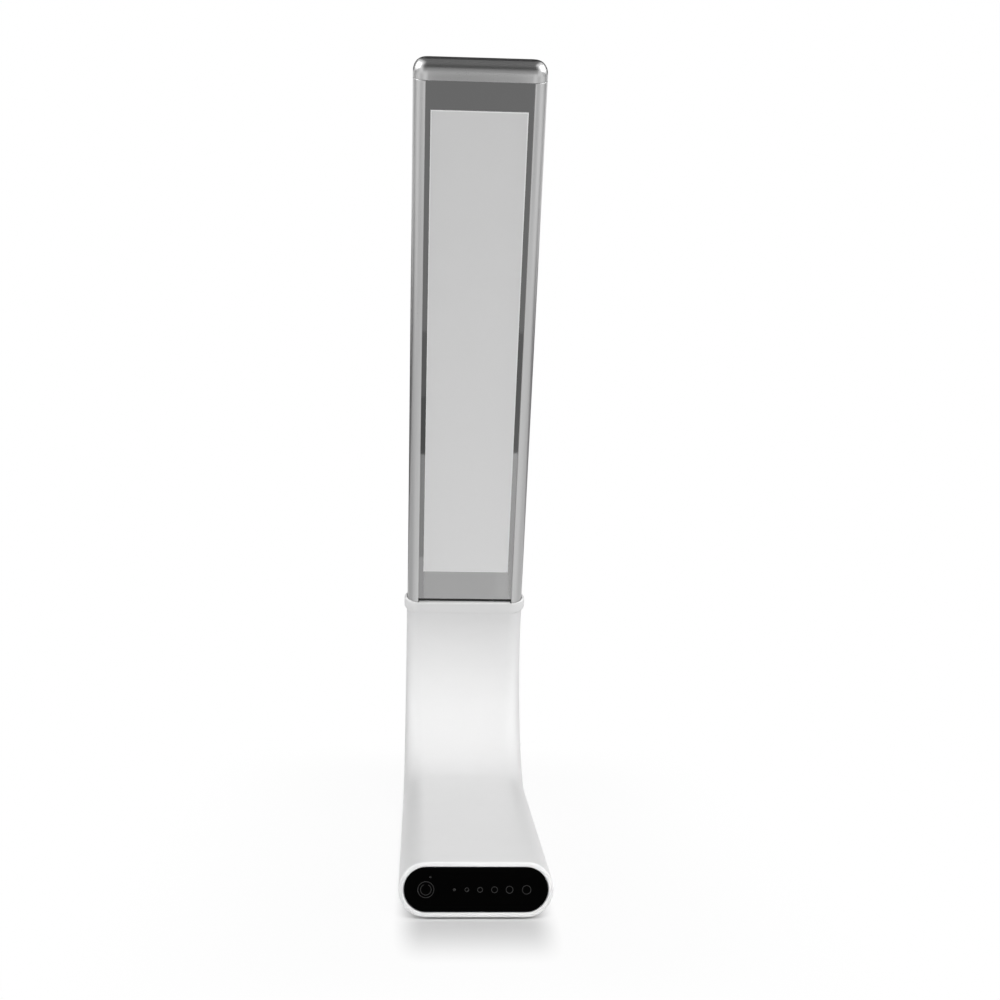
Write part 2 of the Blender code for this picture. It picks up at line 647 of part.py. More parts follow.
# Weight and battery
def make_weight_and_battery():
    slab = box((-FLAT_WIDTH / 2, 0.0, 0.0), (FLAT_WIDTH / 2, BALLAST_LENGTH, BALLAST_THICKNESS))
    part("ballast_plate", slab, bare_steel, lamp, (0.0, BALLAST_START, BALLAST_BOTTOM))

    right = RIBBON_X - RIBBON_WIDTH / 2 - BATTERY_CLEARANCE
    start = BOARD_END + BATTERY_CLEARANCE
    end = BRACKET_START - 2 * BATTERY_CLEARANCE
    top = ROOF - BATTERY_HEADROOM
    pouch = plate([rounded_rectangle(right + FLAT_WIDTH / 2, end - start, BATTERY_ROUND)],
                  BALLAST_TOP + GAP, top)
    rounded_edges(pouch, BATTERY_ROUND / 2, 2, in_plane(2, top))
    part("battery_pack", pouch, foil, lamp, ((right - FLAT_WIDTH / 2) / 2, (start + end) / 2, 0.0))


# Main board with its parts
def make_main_board():
    sheet = box((-BOARD_WIDTH / 2, 0.0, 0.0), (BOARD_WIDTH / 2, BOARD_LENGTH, BOARD_THICKNESS))
    board = part("main_board", sheet, green_board, lamp, (0.0, BOARD_START, BOARD_BOTTOM))
    hole = post(SMALL_HOLE, -BOARD_THICKNESS, 2 * BOARD_THICKNESS)
    cut(board, group(hole, [(x, y - BOARD_START, 0.0) for x, y in BOARD_BOSSES]))
    screw = pan_screw(SMALL_SHANK, SMALL_HEAD, SMALL_HEAD_HEIGHT, SMALL_LENGTH - GAP)
    parts_like("board_screw", screw, bare_steel, lamp, [(x, y, BOARD_BOTTOM - GAP) for x, y in BOARD_BOSSES])

    seat = BOARD_TOP + GAP
    mid = BOARD_START + BOARD_LENGTH / 2
    headroom = ROOF - seat
    ring = plate([circle(COIL_RADIUS), circle(COIL_BORE)], 0.0, headroom - COIL_HEADROOM)
    part("driver_coil", ring, black_plastic, lamp, (-BOARD_BOSS_X / 2, mid, seat))
    can = post(CAPACITOR_RADIUS, 0.0, headroom - CAPACITOR_HEADROOM)
    part("driver_capacitor", can, foil, lamp, (BOARD_BOSS_X / 4, mid - COIL_RADIUS, seat))

    half = RIBBON_WIDTH / 2 + CONNECTOR_MARGIN
    block = box((-half, -CONNECTOR_LENGTH, 0.0), (half, 0.0, CONNECTOR_HEIGHT))
    part("ribbon_connector", block, cream_plastic, lamp, (RIBBON_X, BOARD_END - CONNECTOR_MARGIN, seat))

    body = drawn_along_x([stadium(SOCKET_WIDTH, SOCKET_HEIGHT, ROUND_STEPS // 2)], -SOCKET_DEPTH, 0.0)
    socket = part("charge_socket", body, bare_steel, lamp, (SOCKET_FACE, SOCKET_Y, SOCKET_Z))
    inset = 2 * SOCKET_WALL
    mouth = drawn_along_x([stadium(SOCKET_WIDTH - inset, SOCKET_HEIGHT - inset, ROUND_STEPS // 2)],
                          SOCKET_FLOOR - SOCKET_DEPTH, SOCKET_DEPTH)
    cut(socket, mouth)


# Spine: a chain of friction hinges inside the sleeve
def knuckle_outline(reach):
    # A round eye at the origin that narrows into a bar ending at the reach along +Z.
    half = LINK_THICKNESS / 2
    eye = arc((0.0, 0.0), KNUCKLE_RADIUS, pi / 6, -7 * pi / 6, ROUND_STEPS)
    return [(half, reach)] + eye + [(-half, reach)]


def tongue():
    return drawn_along_x([knuckle_outline(PLATE_STANDOFF + LINK_ROOT)], -TONGUE_WIDTH / 2, TONGUE_WIDTH / 2)


def ears():
    outline = knuckle_outline(PLATE_STANDOFF + LINK_ROOT)
    pair = joined([drawn_along_x([outline], EAR_INNER, LINK_WIDTH / 2),
                   drawn_along_x([outline], -LINK_WIDTH / 2, -EAR_INNER)])
    pair.transform(Matrix.Rotation(pi, 4, "X"))
    return pair


def eye_bore():
    bore = post(PIN_RADIUS + GAP, -LINK_WIDTH, LINK_WIDTH)
    bore.transform(Matrix.Rotation(pi / 2, 4, "Y"))
    return bore


def link_plate(bottom, top):
    return box((-LINK_WIDTH / 2, -LINK_THICKNESS / 2, bottom), (LINK_WIDTH / 2, LINK_THICKNESS / 2, top))


def moved(mesh, offset):
    mesh.transform(Matrix.Translation(offset))
    return mesh


def make_base_bracket():
    reach = hinge_places[0].y - BRACKET_START
    lay_flat = Matrix.Translation((0.0, hinge_places[0].y, BRACKET_Z)) @ Matrix.Rotation(-pi / 2, 4, "X")
    body = link_plate(-reach, -PLATE_STANDOFF)
    body.transform(lay_flat)
    bracket = part("spine_base_bracket", body, cast_zinc, lamp)
    eyes = ears()
    eyes.transform(lay_flat)
    add(bracket, eyes)
    bore = eye_bore()
    bore.transform(lay_flat)
    hole = post(STOUT_HOLE, BRACKET_Z - LINK_THICKNESS, BRACKET_Z + LINK_THICKNESS)
    cut(bracket, joined([bore, group(hole, [(x, y, 0.0) for x, y in BRACKET_SCREWS])]))
    screw = pan_screw(STOUT_SHANK, STOUT_HEAD, STOUT_HEAD_HEIGHT, STOUT_LENGTH - GAP)
    underside = BRACKET_Z - LINK_THICKNESS / 2 - GAP
    parts_like("bracket_screw", screw, bare_steel, lamp, [(x, y, underside) for x, y in BRACKET_SCREWS])


def make_links():
    for index in range(HINGE_COUNT - 1):
        body = link_plate(PLATE_STANDOFF, LINK_LENGTH - PLATE_STANDOFF)
        link = part("spine_link_%d" % (index + 1), body, cast_zinc, pivots[index])
        add(link, tongue())
        add(link, moved(ears(), (0.0, 0.0, LINK_LENGTH)))
        cut(link, joined([eye_bore(), moved(eye_bore(), (0.0, 0.0, LINK_LENGTH))]))


def make_pins():
    # Each pin and its two washers stay with the ears that hold them.
    rivet = turned([(0.0, PIN_END + PIN_HEAD_HEIGHT), (PIN_HEAD_RADIUS, PIN_END + PIN_HEAD_HEIGHT),
                    (PIN_HEAD_RADIUS, PIN_END), (PIN_RADIUS, PIN_END), (PIN_RADIUS, -PIN_END),
                    (PIN_HEAD_RADIUS, -PIN_END), (PIN_HEAD_RADIUS, -PIN_END - PIN_HEAD_HEIGHT),
                    (0.0, -PIN_END - PIN_HEAD_HEIGHT)])
    rivet.transform(Matrix.Rotation(pi / 2, 4, "Y"))
    inner = TONGUE_WIDTH / 2 + GAP
    washer = plate([circle(WASHER_RADIUS), circle(PIN_RADIUS + GAP)], inner, inner + WASHER_THICKNESS)
    washer.transform(Matrix.Rotation(pi / 2, 4, "Y"))
    for index in range(HINGE_COUNT):
        holder = lamp if index == 0 else pivots[index - 1]
        place = hinge_places[0] if index == 0 else (0.0, 0.0, LINK_LENGTH)
        part("hinge_pin_%d" % (index + 1), rivet, bare_steel, holder, place)
        left = Vector(place) - Vector((2 * inner + WASHER_THICKNESS, 0.0, 0.0))
        parts_like("friction_washer_%d" % (index + 1), washer, bronze, holder, [place, left])


# Neck sleeve: a soft tube lofted from the base's section to the collar's
def make_neck_sleeve():
    stations = [GAP - SLEEVE_LEAD]
    stations += [BEND_LENGTH * step / SLEEVE_RINGS for step in range(SLEEVE_RINGS + 1)]
    stations += [BEND_LENGTH + SLEEVE_TAIL]
    shape = bmesh.new()

    def ring(distance, shrink):
        centre, turn = neck_station(distance)
        width, depth = neck_section(distance)
        outline = stadium(width - 2 * shrink, depth - 2 * shrink)
        return [shape.verts.new(centre + Vector((x, 0.0, 0.0)) + rise * inward(turn)) for x, rise in outline]

    rings = [ring(distance, 0.0) for distance in stations]
    rings += [ring(distance, SLEEVE_WALL) for distance in reversed(stations)]
    for lower, upper in zip(rings, rings[1:] + rings[:1]):
        for index in range(len(lower)):
            after = (index + 1) % len(lower)
            shape.faces.new((lower[index], lower[after], upper[after], upper[index]))
    bmesh.ops.recalc_face_normals(shape, faces=shape.faces)
    mesh = bpy.data.meshes.new("neck_sleeve")
    shape.to_mesh(mesh)
    shape.free()
    part("neck_sleeve", mesh, white_silicone, lamp)


# Flat lead from the main board up to the light panel's board
def make_lead_ribbon():
    start = BOARD_END - CONNECTOR_MARGIN + GAP - BASE_FLAT
    end = BEND_LENGTH + DRIVER_BOTTOM - GAP
    entry = BOARD_TOP + GAP + CONNECTOR_HEIGHT / 2 - MID_HEIGHT
    count = int((end - start) / RIBBON_STEP)
    curve = bpy.data.curves.new("lead_ribbon", "CURVE")
    curve.dimensions = "2D"
    curve.fill_mode = "NONE"
    curve.extrude = RIBBON_WIDTH / 2
    spline = curve.splines.new("POLY")
    spline.points.add(count)
    for step, point in enumerate(spline.points):
        distance = start + (end - start) * step / count
        centre, turn = neck_station(distance)
        share = min((distance - start) / RIBBON_RAMP, 1.0)
        height = entry * (1.0 - share * share * (3.0 - 2.0 * share))
        place = centre + height * inward(turn)
        point.co = (place.y, place.z, 0.0, 1.0)
    ribbon = bpy.data.objects.new("ribbon", curve)
    thicken = ribbon.modifiers.new("thickness", "SOLIDIFY")
    thicken.thickness = RIBBON_THICKNESS
    thicken.offset = 0.0
    mesh = evaluated_mesh(ribbon)
    mesh.transform(Matrix.Rotation(pi / 2, 4, "Z") @ Matrix.Rotation(pi / 2, 4, "X"))
    part("lead_ribbon", mesh, black_plastic, lamp, (RIBBON_X, 0.0, 0.0))


# Head: everything above the last hinge, with +Z up the head and -Y out of its lit face
def on_head(place):
    return Vector(HEAD_ORIGIN) + Vector(place)


def head_part(name, mesh, look):
    return part(name, mesh, look, pivots[-1], HEAD_ORIGIN)


def make_head_bracket():
    bar = link_plate(PLATE_STANDOFF - HINGE_DROP, GLASS_BOTTOM - 2 * GAP)
    bracket = head_part("head_bracket", moved(bar, (0.0, -HINGE_RISE, 0.0)), cast_zinc)
    add(bracket, moved(tongue(), (0.0, -HINGE_RISE, -HINGE_DROP)))
    block = box((-LINK_WIDTH / 2, -BLOCK_FRONT, BLOCK_BOTTOM), (LINK_WIDTH / 2, BLOCK_BACK, BLOCK_TOP))
    add(bracket, block)
    pilot = post(SMALL_HOLE, -SMALL_LENGTH, 0.0)
    pilot.transform(Matrix.Rotation(-pi / 2, 4, "X"))
    pilots = group(pilot, [(side * BLOCK_SCREW_X, HEAD_ROUND, BLOCK_SCREW_Z) for side in (-1, 1)])
    cut(bracket, joined([moved(eye_bore(), (0.0, -HINGE_RISE, -HINGE_DROP)), pilots]))


def pocket_outline():
    # The frame's outline with clearance, stepped back in front for the collar's tongue.
    radius = HEAD_ROUND + GAP
    tongue_x = LIP_X - TONGUE_SLIT
    start = -acos((tongue_x - HEAD_FLAT) / radius)
    right = [(tongue_x, -GLASS_FRONT - GAP)] + arc((HEAD_FLAT, 0.0), radius, start, pi / 2, ROUND_STEPS)
    return right + [(-x, y) for x, y in reversed(right)]


def make_collar():
    bead = plate([stadium(COLLAR_WIDTH, COLLAR_DEPTH, 2 * ROUND_STEPS)], COLLAR_BOTTOM, COLLAR_TOP)
    rounded_edges(bead, COLLAR_ROUND, 4, in_plane(2, COLLAR_TOP))
    rounded_edges(bead, COLLAR_ROUND, 4, in_plane(2, COLLAR_BOTTOM))
    collar = head_part("collar", bead, white_silicone)
    inset = 2 * (SLEEVE_WALL + GAP)
    spigot = plate([rounded_rectangle(COLLAR_SPIGOT_WIDTH, NECK_DEPTH - inset, COLLAR_SPIGOT_ROUND)],
                   COLLAR_BOTTOM - COLLAR_SPIGOT_LENGTH, (COLLAR_BOTTOM + POCKET_FLOOR) / 2)
    add(collar, spigot)

    cut(collar, plate([pocket_outline()], POCKET_FLOOR, COLLAR_TOP + COLLAR_HEIGHT))

    passage = (LINK_WIDTH / 2 + GAP, RIBBON_X + RIBBON_WIDTH / 2 + GAP)
    slot_front = -HINGE_RISE - LINK_THICKNESS / 2 - GAP
    slot_back = max(LINK_THICKNESS / 2 - HINGE_RISE, RIBBON_THICKNESS / 2) + GAP
    cut(collar, box((-passage[0], slot_front, -COLLAR_HEIGHT), (passage[1], slot_back, POCKET_FLOOR + GAP)))
    cut(collar, box((-passage[0], slot_back - GAP, BLOCK_BOTTOM - GAP),
                    (passage[0], BLOCK_BACK + GAP, POCKET_FLOOR + GAP)))
    ports = [(side * PORT_X, PORT_Y, 0.0) for side in (-1, 1)]
    cut(collar, group(post(SMALL_HEAD + GAP, COLLAR_BOTTOM - GAP, COLLAR_SEAT), ports))
    cut(collar, group(post(SMALL_HOLE, COLLAR_SEAT - GAP, COLLAR_TOP), ports))
    screw = pan_screw(SMALL_SHANK, SMALL_HEAD, SMALL_HEAD_HEIGHT, SMALL_LENGTH)
    parts_like("collar_screw", screw, bare_steel, pivots[-1],
               [on_head((side * PORT_X, PORT_Y, COLLAR_SEAT - GAP)) for side in (-1, 1)])


def frame_outline():
    # Half of the extrusion's section, from the front lip round the back, then its mirror image.
    lip_angle = pi / 2 - asin((LIP_X - HEAD_FLAT) / HEAD_ROUND)
    lip_front = sqrt(HEAD_ROUND ** 2 - (LIP_X - HEAD_FLAT) ** 2)
    ledge_x = HEAD_FLAT + sqrt(CAVITY_ROUND ** 2 - LEDGE_BACK ** 2)
    outer = [(LIP_X, -lip_front)] + arc((HEAD_FLAT, 0.0), HEAD_ROUND, -lip_angle, pi / 2, ROUND_STEPS)[1:]
    start = -asin(LEDGE_BACK / CAVITY_ROUND)
    inner = arc((HEAD_FLAT, 0.0), CAVITY_ROUND, pi / 2, start, ROUND_STEPS)[:-1]
    inner += [(ledge_x, -LEDGE_BACK), (LEDGE_X, -LEDGE_BACK), (LEDGE_X, -SLOT_BACK), (SLOT_X, -SLOT_BACK),
              (SLOT_X, -SLOT_FRONT), (LIP_X, -SLOT_FRONT)]
    mirror_outer = [(-x, y) for x, y in reversed(outer)]
    mirror_inner = [(-x, y) for x, y in reversed(inner)]
    return outer + mirror_outer + mirror_inner + inner


def make_head_frame():
    frame = head_part("head_frame", plate([frame_outline()], FRAME_BOTTOM, FRAME_TOP), satin_aluminium)
    ports = [(side * PORT_X, PORT_Y, 0.0) for side in (-1, 1)]
    add(frame, group(post(PORT_RADIUS, FRAME_BOTTOM, FRAME_TOP), ports))
    cut(frame, group(post(SMALL_HOLE, 0.0, HEAD_LENGTH), ports))
    hole = sink_hole(2 * FRAME_WALL)
    hole.transform(Matrix.Rotation(pi / 2, 4, "X"))
    places = [(side * BLOCK_SCREW_X, HEAD_ROUND - SINK_RECESS, BLOCK_SCREW_Z) for side in (-1, 1)]
    cut(frame, group(hole, places))
    screw = sunk_screw(SMALL_LENGTH - GAP)
    screw.transform(Matrix.Rotation(pi / 2, 4, "X"))
    parts_like("head_bracket_screw", screw, bare_steel, pivots[-1], [on_head(place) for place in places])


def make_top_cap():
    dome = plate([stadium(HEAD_WIDTH, HEAD_DEPTH, 2 * ROUND_STEPS)], CAP_BOTTOM, HEAD_LENGTH)
    rounded_edges(dome, CAP_ROUND, 6, in_plane(2, HEAD_LENGTH))
    cap = head_part("top_cap", dome, satin_aluminium)
    plug = box((-CAP_PLUG_WIDTH / 2, -BLOCK_FRONT, CAP_BOTTOM - CAP_PLUG_LENGTH),
               (CAP_PLUG_WIDTH / 2, BLOCK_BACK, CAP_BOTTOM + GAP))
    add(cap, plug)


def make_light_panel():
    glass = box((-GLASS_WIDTH / 2, -GLASS_FRONT, GLASS_BOTTOM), (GLASS_WIDTH / 2, -GLASS_BACK, GLASS_TOP))
    head_part("panel_glass", glass, mirror_glass)
    film_back = GLASS_FRONT + GAP
    film = box((-FILM_WIDTH / 2, -film_back - FILM_THICKNESS, GLASS_BOTTOM + FILM_BOTTOM),
               (FILM_WIDTH / 2, -film_back, CAP_BOTTOM - FILM_TOP))
    head_part("light_film", film, pale_film)
    half = LEDGE_X - SPREADER_MARGIN
    sheet = box((-half, -SPREADER_FRONT, GLASS_BOTTOM + SPREADER_BOTTOM),
                (half, -SPREADER_BACK, GLASS_TOP - SPREADER_TOP))
    head_part("heat_spreader", sheet, foil)

    right = RIBBON_X + RIBBON_WIDTH / 2 + CONNECTOR_MARGIN
    board = box((-LINK_WIDTH / 2, -DRIVER_FRONT, DRIVER_BOTTOM),
                (right, -DRIVER_BACK, DRIVER_BOTTOM + DRIVER_BOARD_LENGTH))
    head_part("panel_board", board, green_board)
    half = RIBBON_WIDTH / 2 + CONNECTOR_MARGIN
    seat = -DRIVER_BACK + GAP
    block = box((RIBBON_X - half, seat, DRIVER_BOTTOM),
                (RIBBON_X + half, seat + CONNECTOR_HEIGHT, DRIVER_BOTTOM + CONNECTOR_LENGTH))
    head_part("panel_connector", block, cream_plastic)


make_base_shell()
make_underside()
make_touch_panel()
make_weight_and_battery()
make_main_board()
make_base_bracket()
make_links()
make_pins()
make_neck_sleeve()
make_lead_ribbon()
make_head_bracket()
make_collar()
make_head_frame()
make_top_cap()
make_light_panel()
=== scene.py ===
import json
import math
import bmesh
import bpy
from mathutils import Matrix, Vector


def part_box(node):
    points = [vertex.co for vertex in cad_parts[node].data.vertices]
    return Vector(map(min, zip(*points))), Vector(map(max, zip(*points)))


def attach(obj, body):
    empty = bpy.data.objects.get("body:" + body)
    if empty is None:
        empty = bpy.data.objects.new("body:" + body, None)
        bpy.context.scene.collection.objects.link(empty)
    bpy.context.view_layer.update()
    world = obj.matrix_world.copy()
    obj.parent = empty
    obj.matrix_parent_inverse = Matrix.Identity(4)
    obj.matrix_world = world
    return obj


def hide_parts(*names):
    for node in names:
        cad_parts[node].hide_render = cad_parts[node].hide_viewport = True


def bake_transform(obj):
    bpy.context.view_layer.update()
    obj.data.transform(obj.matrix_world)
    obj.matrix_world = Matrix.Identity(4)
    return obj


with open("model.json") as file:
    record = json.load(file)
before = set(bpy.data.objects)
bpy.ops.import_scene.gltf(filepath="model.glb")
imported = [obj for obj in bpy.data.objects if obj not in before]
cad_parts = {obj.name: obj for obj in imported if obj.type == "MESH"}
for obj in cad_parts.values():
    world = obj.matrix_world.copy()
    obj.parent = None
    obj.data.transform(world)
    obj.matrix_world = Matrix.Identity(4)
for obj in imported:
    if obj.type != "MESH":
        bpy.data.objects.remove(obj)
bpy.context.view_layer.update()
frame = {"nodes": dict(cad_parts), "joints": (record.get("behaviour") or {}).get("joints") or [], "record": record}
mm = 0.001
nodes = frame["nodes"]
print("frame loaded:", len(nodes), "nodes")

# The lamp's mid-line: flat through the base, round the bend, then straight up the head
line = {
    "flat": 160.0 * mm,        # base front to the start of the bend
    "bendRadius": 60.0 * mm,
    "lean": math.radians(26.5),
    "width": 60.0 * mm,
    "neckDepth": 14.6 * mm,
}
shellLow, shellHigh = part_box("base_shell")
baseDepth = shellHigh.z - shellLow.z
bendCentre = Vector((0.0, shellLow.y + line["flat"], (shellLow.z + shellHigh.z) / 2 + line["bendRadius"]))
bendAngle = math.pi / 2 + line["lean"]
bendLength = line["bendRadius"] * bendAngle


def lineSpace(distance):
    # x across, y along the line, z towards the inside of the bend
    turn = min(max(distance / line["bendRadius"], 0.0), bendAngle)
    straight = distance - turn * line["bendRadius"]
    turned = Matrix.Rotation(turn, 4, "X")
    return Matrix.Translation(bendCentre) @ turned @ Matrix.Translation((0.0, straight, -line["bendRadius"]))


# x across, -y out of the lit face, z up the head
headSpace = lineSpace(bendLength) @ Matrix.Rotation(-math.pi / 2, 4, "X")


def boxIn(space, node):
    # lowest and highest corner of a node, measured in another space
    inverse = space.inverted()
    points = [inverse @ vertex.co for vertex in nodes[node].data.vertices]
    low = Vector([min(point[axis] for point in points) for axis in range(3)])
    high = Vector([max(point[axis] for point in points) for axis in range(3)])
    return low, high


# Shader sums as plain Python sums
class Wire:
    def __init__(self, nodeTree, socket):
        self.nodeTree = nodeTree
        self.socket = socket

    def sum(self, operation, first, second=0.0):
        return self.nodeTree.node("ShaderNodeMath", {"operation": operation}, {0: first, 1: second})

    def __add__(self, other):
        return self.sum("ADD", self, other)

    def __radd__(self, other):
        return self.sum("ADD", other, self)

    def __sub__(self, other):
        return self.sum("SUBTRACT", self, other)

    def __rsub__(self, other):
        return self.sum("SUBTRACT", other, self)

    def __mul__(self, other):
        return self.sum("MULTIPLY", self, other)

    def __rmul__(self, other):
        return self.sum("MULTIPLY", other, self)

    def __gt__(self, other):
        return self.sum("GREATER_THAN", self, other)

    def __abs__(self):
        return self.sum("ABSOLUTE", self)


class NodeTree:
    def __init__(self, tree):
        self.tree = tree

    def node(self, kind, settings=None, sockets=None, output=0):
        made = self.tree.nodes.new(kind)
        for key, value in (settings or {}).items():
            setattr(made, key, value)
        for key, value in (sockets or {}).items():
            self.feed(made.inputs[key], value)
        return Wire(self, made.outputs[output])

    def feed(self, socket, value):
        if isinstance(value, Wire):
            self.tree.links.new(value.socket, socket)
        else:
            socket.default_value = value


class Finish(NodeTree):
    def __init__(self, name):
        self.material = bpy.data.materials.new(name)
        self.material.use_nodes = True
        super().__init__(self.material.node_tree)
        self.shader = self.tree.nodes["Principled BSDF"]
        self.place = self.node("ShaderNodeTexCoord", output=3)

    def set(self, **sockets):
        for key, value in sockets.items():
            self.feed(self.shader.inputs[key.replace("_", " ")], value)

    def along(self, turn, stretch):
        # object coordinates turned about x, then squeezed so that a pattern runs long
        return self.node("ShaderNodeMapping", {"vector_type": "TEXTURE"},
                         {"Vector": self.place, "Rotation": (turn, 0.0, 0.0), "Scale": stretch})

    def noise(self, scale, detail=3.0, vector=None):
        return self.node("ShaderNodeTexNoise", {}, {"Vector": vector or self.place, "Scale": scale,
                                                    "Detail": detail, "Roughness": 0.6})

    def tone(self, mask, dark, light):
        # a colour between two greys or two colours
        return self.node("ShaderNodeMix", {"data_type": "RGBA"},
                         {0: mask, 6: asColour(dark), 7: asColour(light)}, output=2)

    def bump(self, height, depth):
        return self.node("ShaderNodeBump", {}, {"Strength": 1.0, "Distance": depth, "Height": height})


def asColour(value):
    if isinstance(value, Wire):
        return value
    if isinstance(value, float):
        return (value, value, value, 1.0)
    return (*value, 1.0)


# Moulded plastics, silicone, rubber and resin
mouldings = {
    "white_plastic": {"dark": 0.80, "light": 0.84, "roughness": 0.40, "grain": 2400.0, "depth": 0.010 * mm},
    "white_silicone": {"dark": 0.80, "light": 0.84, "roughness": 0.50, "grain": 1800.0, "depth": 0.012 * mm},
    "black_plastic": {"dark": 0.016, "light": 0.024, "roughness": 0.42, "grain": 2000.0, "depth": 0.015 * mm},
    "cream_plastic": {"dark": (0.74, 0.70, 0.60), "light": (0.80, 0.76, 0.66), "roughness": 0.45,
                      "grain": 1500.0, "depth": 0.010 * mm},
    "grey_rubber": {"dark": 0.17, "light": 0.23, "roughness": 0.80, "grain": 1600.0, "depth": 0.030 * mm},
    "clear_resin": {"dark": (0.82, 0.76, 0.50), "light": (0.88, 0.83, 0.60), "roughness": 0.16,
                    "grain": 900.0, "depth": 0.004 * mm},
}


def moulded(name):
    look = mouldings[name]
    made = Finish(name)
    cloud = made.noise(28.0, 2.0)
    grain = made.noise(look["grain"], 2.0)
    made.set(Base_Color=made.tone(cloud, look["dark"], look["light"]),
             Roughness=look["roughness"] - 0.06 + 0.12 * grain, Normal=made.bump(grain, look["depth"]))
    return made.material


# Powder-coated sheet steel
steelLook = {"dark": 0.77, "light": 0.82, "cloud": 40.0, "peel": 700.0, "depth": 0.02 * mm, "roughness": 0.34}


def whiteSteel():
    made = Finish("white_steel")
    orangePeel = made.noise(steelLook["peel"], 1.0)
    made.set(Base_Color=made.tone(made.noise(steelLook["cloud"]), steelLook["dark"], steelLook["light"]),
             Roughness=steelLook["roughness"] + 0.10 * orangePeel,
             Normal=made.bump(orangePeel, steelLook["depth"]))
    return made.material


# Polished black acrylic
acrylicLook = {"dark": 0.0004, "light": 0.0008, "haze": 60.0, "roughness": 0.04, "shine": 0.04}


def blackAcrylic():
    made = Finish("black_acrylic")
    haze = made.noise(acrylicLook["haze"], 4.0)
    made.set(Base_Color=made.tone(haze, acrylicLook["dark"], acrylicLook["light"]),
             Roughness=acrylicLook["roughness"] + 0.04 * haze, Specular_IOR_Level=acrylicLook["shine"])
    return made.material


# Satin anodised aluminium, with fine lines drawn out along the head
aluminiumLook = {"dark": 0.52, "light": 0.60, "roughness": 0.22, "lines": 2600.0, "grain": 3200.0}


def satinAluminium():
    made = Finish("satin_aluminium")
    drawn = made.noise(aluminiumLook["lines"], 2.0, made.along(line["lean"], (1.0, 1.0, 40.0)))
    blast = made.noise(aluminiumLook["grain"], 2.0)
    made.set(Base_Color=made.tone(0.5 * drawn + 0.5 * blast, aluminiumLook["dark"], aluminiumLook["light"]),
             Metallic=1.0, Roughness=aluminiumLook["roughness"] + 0.10 * blast + 0.06 * drawn,
             Normal=made.bump(0.6 * blast + 0.4 * drawn, 0.012 * mm))
    return made.material


# Grey mirror glass
mirrorLook = {"dark": 0.49, "light": 0.51, "smear": 25.0, "roughness": 0.02}


def mirrorGlass():
    made = Finish("mirror_glass")
    smear = made.noise(mirrorLook["smear"], 4.0)
    made.set(Base_Color=made.tone(smear, mirrorLook["dark"], mirrorLook["light"]), Metallic=1.0,
             Roughness=mirrorLook["roughness"] + 0.03 * smear)
    return made.material


# Diffusing film, painted lighter from head to foot as bounce light from the base, and edge is a painted highlight
# all round its rim
filmLook = {"head": 0.655, "foot": 0.81, "mottle": 0.02, "edge": 0.86, "highlightWidth": 0.45 * mm,
            "weave": 1500.0}


def paleFilm():
    made = Finish("pale_film")
    low, high = boxIn(headSpace, "light_film")
    centre = headSpace @ ((low + high) / 2)
    spot = made.node("ShaderNodeMapping", {"vector_type": "TEXTURE"},
                     {"Vector": made.place, "Location": centre, "Rotation": (line["lean"], 0.0, 0.0)})
    across = made.node("ShaderNodeSeparateXYZ", {}, {0: spot}, output=0)
    up = made.node("ShaderNodeSeparateXYZ", {}, {0: spot}, output=2)
    # painted highlight: a bright band along the film's side and end edges
    sideEdge = abs(across) > (high.x - low.x) / 2 - filmLook["highlightWidth"]
    endEdge = abs(up) > (high.z - low.z) / 2 - filmLook["highlightWidth"]
    edge = made.node("ShaderNodeMath", {"operation": "MAXIMUM"}, {0: sideEdge, 1: endEdge})
    grain = made.noise(filmLook["weave"], 2.0)
    # painted bounce light: the film's colour grows lighter from its head down to its foot
    paintedBounce = made.node("ShaderNodeMapRange", {}, {0: up, 1: (high.z - low.z) / 2, 2: (low.z - high.z) / 2})
    paintedBounce = paintedBounce + filmLook["mottle"] * (grain + made.noise(18.0) - 1.0)
    body = made.tone(paintedBounce, filmLook["head"], filmLook["foot"])
    made.set(Base_Color=made.tone(edge, body, filmLook["edge"]), Roughness=0.36 + 0.12 * grain,
             Normal=made.bump(grain, 0.006 * mm))
    return made.material


# Bare metals of the inner works and the fasteners
metals = {
    "bare_steel": {"dark": (0.44, 0.44, 0.45), "light": (0.56, 0.56, 0.57), "roughness": 0.26,
                   "grain": 900.0},
    "cast_zinc": {"dark": (0.34, 0.34, 0.35), "light": (0.46, 0.46, 0.47), "roughness": 0.44, "grain": 500.0},
    "bronze": {"dark": (0.44, 0.29, 0.15), "light": (0.58, 0.41, 0.24), "roughness": 0.32, "grain": 800.0},
    "foil": {"dark": (0.50, 0.52, 0.55), "light": (0.60, 0.62, 0.65), "roughness": 0.24, "grain": 120.0},
}


def bareMetal(name):
    look = metals[name]
    made = Finish(name)
    grain = made.noise(look["grain"], 4.0)
    made.set(Base_Color=made.tone(grain, look["dark"], look["light"]), Metallic=1.0,
             Roughness=look["roughness"] + 0.14 * grain, Normal=made.bump(grain, 0.02 * mm))
    return made.material


# Lacquered circuit board with pale tracks
boardLook = {"lacquer": (0.010, 0.115, 0.045), "track": (0.030, 0.210, 0.095), "cells": 260.0,
             "trackWidth": 0.08, "depth": 0.03 * mm, "roughness": 0.30, "grain": 500.0}


def greenBoard():
    made = Finish("green_board")
    cells = made.node("ShaderNodeTexVoronoi", {"feature": "DISTANCE_TO_EDGE"},
                      {"Vector": made.place, "Scale": boardLook["cells"]}, output="Distance")
    track = 1.0 - (cells > boardLook["trackWidth"])
    made.set(Base_Color=made.tone(track, boardLook["lacquer"], boardLook["track"]),
             Roughness=boardLook["roughness"] + 0.10 * made.noise(boardLook["grain"]),
             Normal=made.bump(track, boardLook["depth"]))
    return made.material


# Grey ink of the touch marks
inkLook = {"dark": 0.016, "light": 0.024, "grain": 3000.0, "roughness": 0.35}


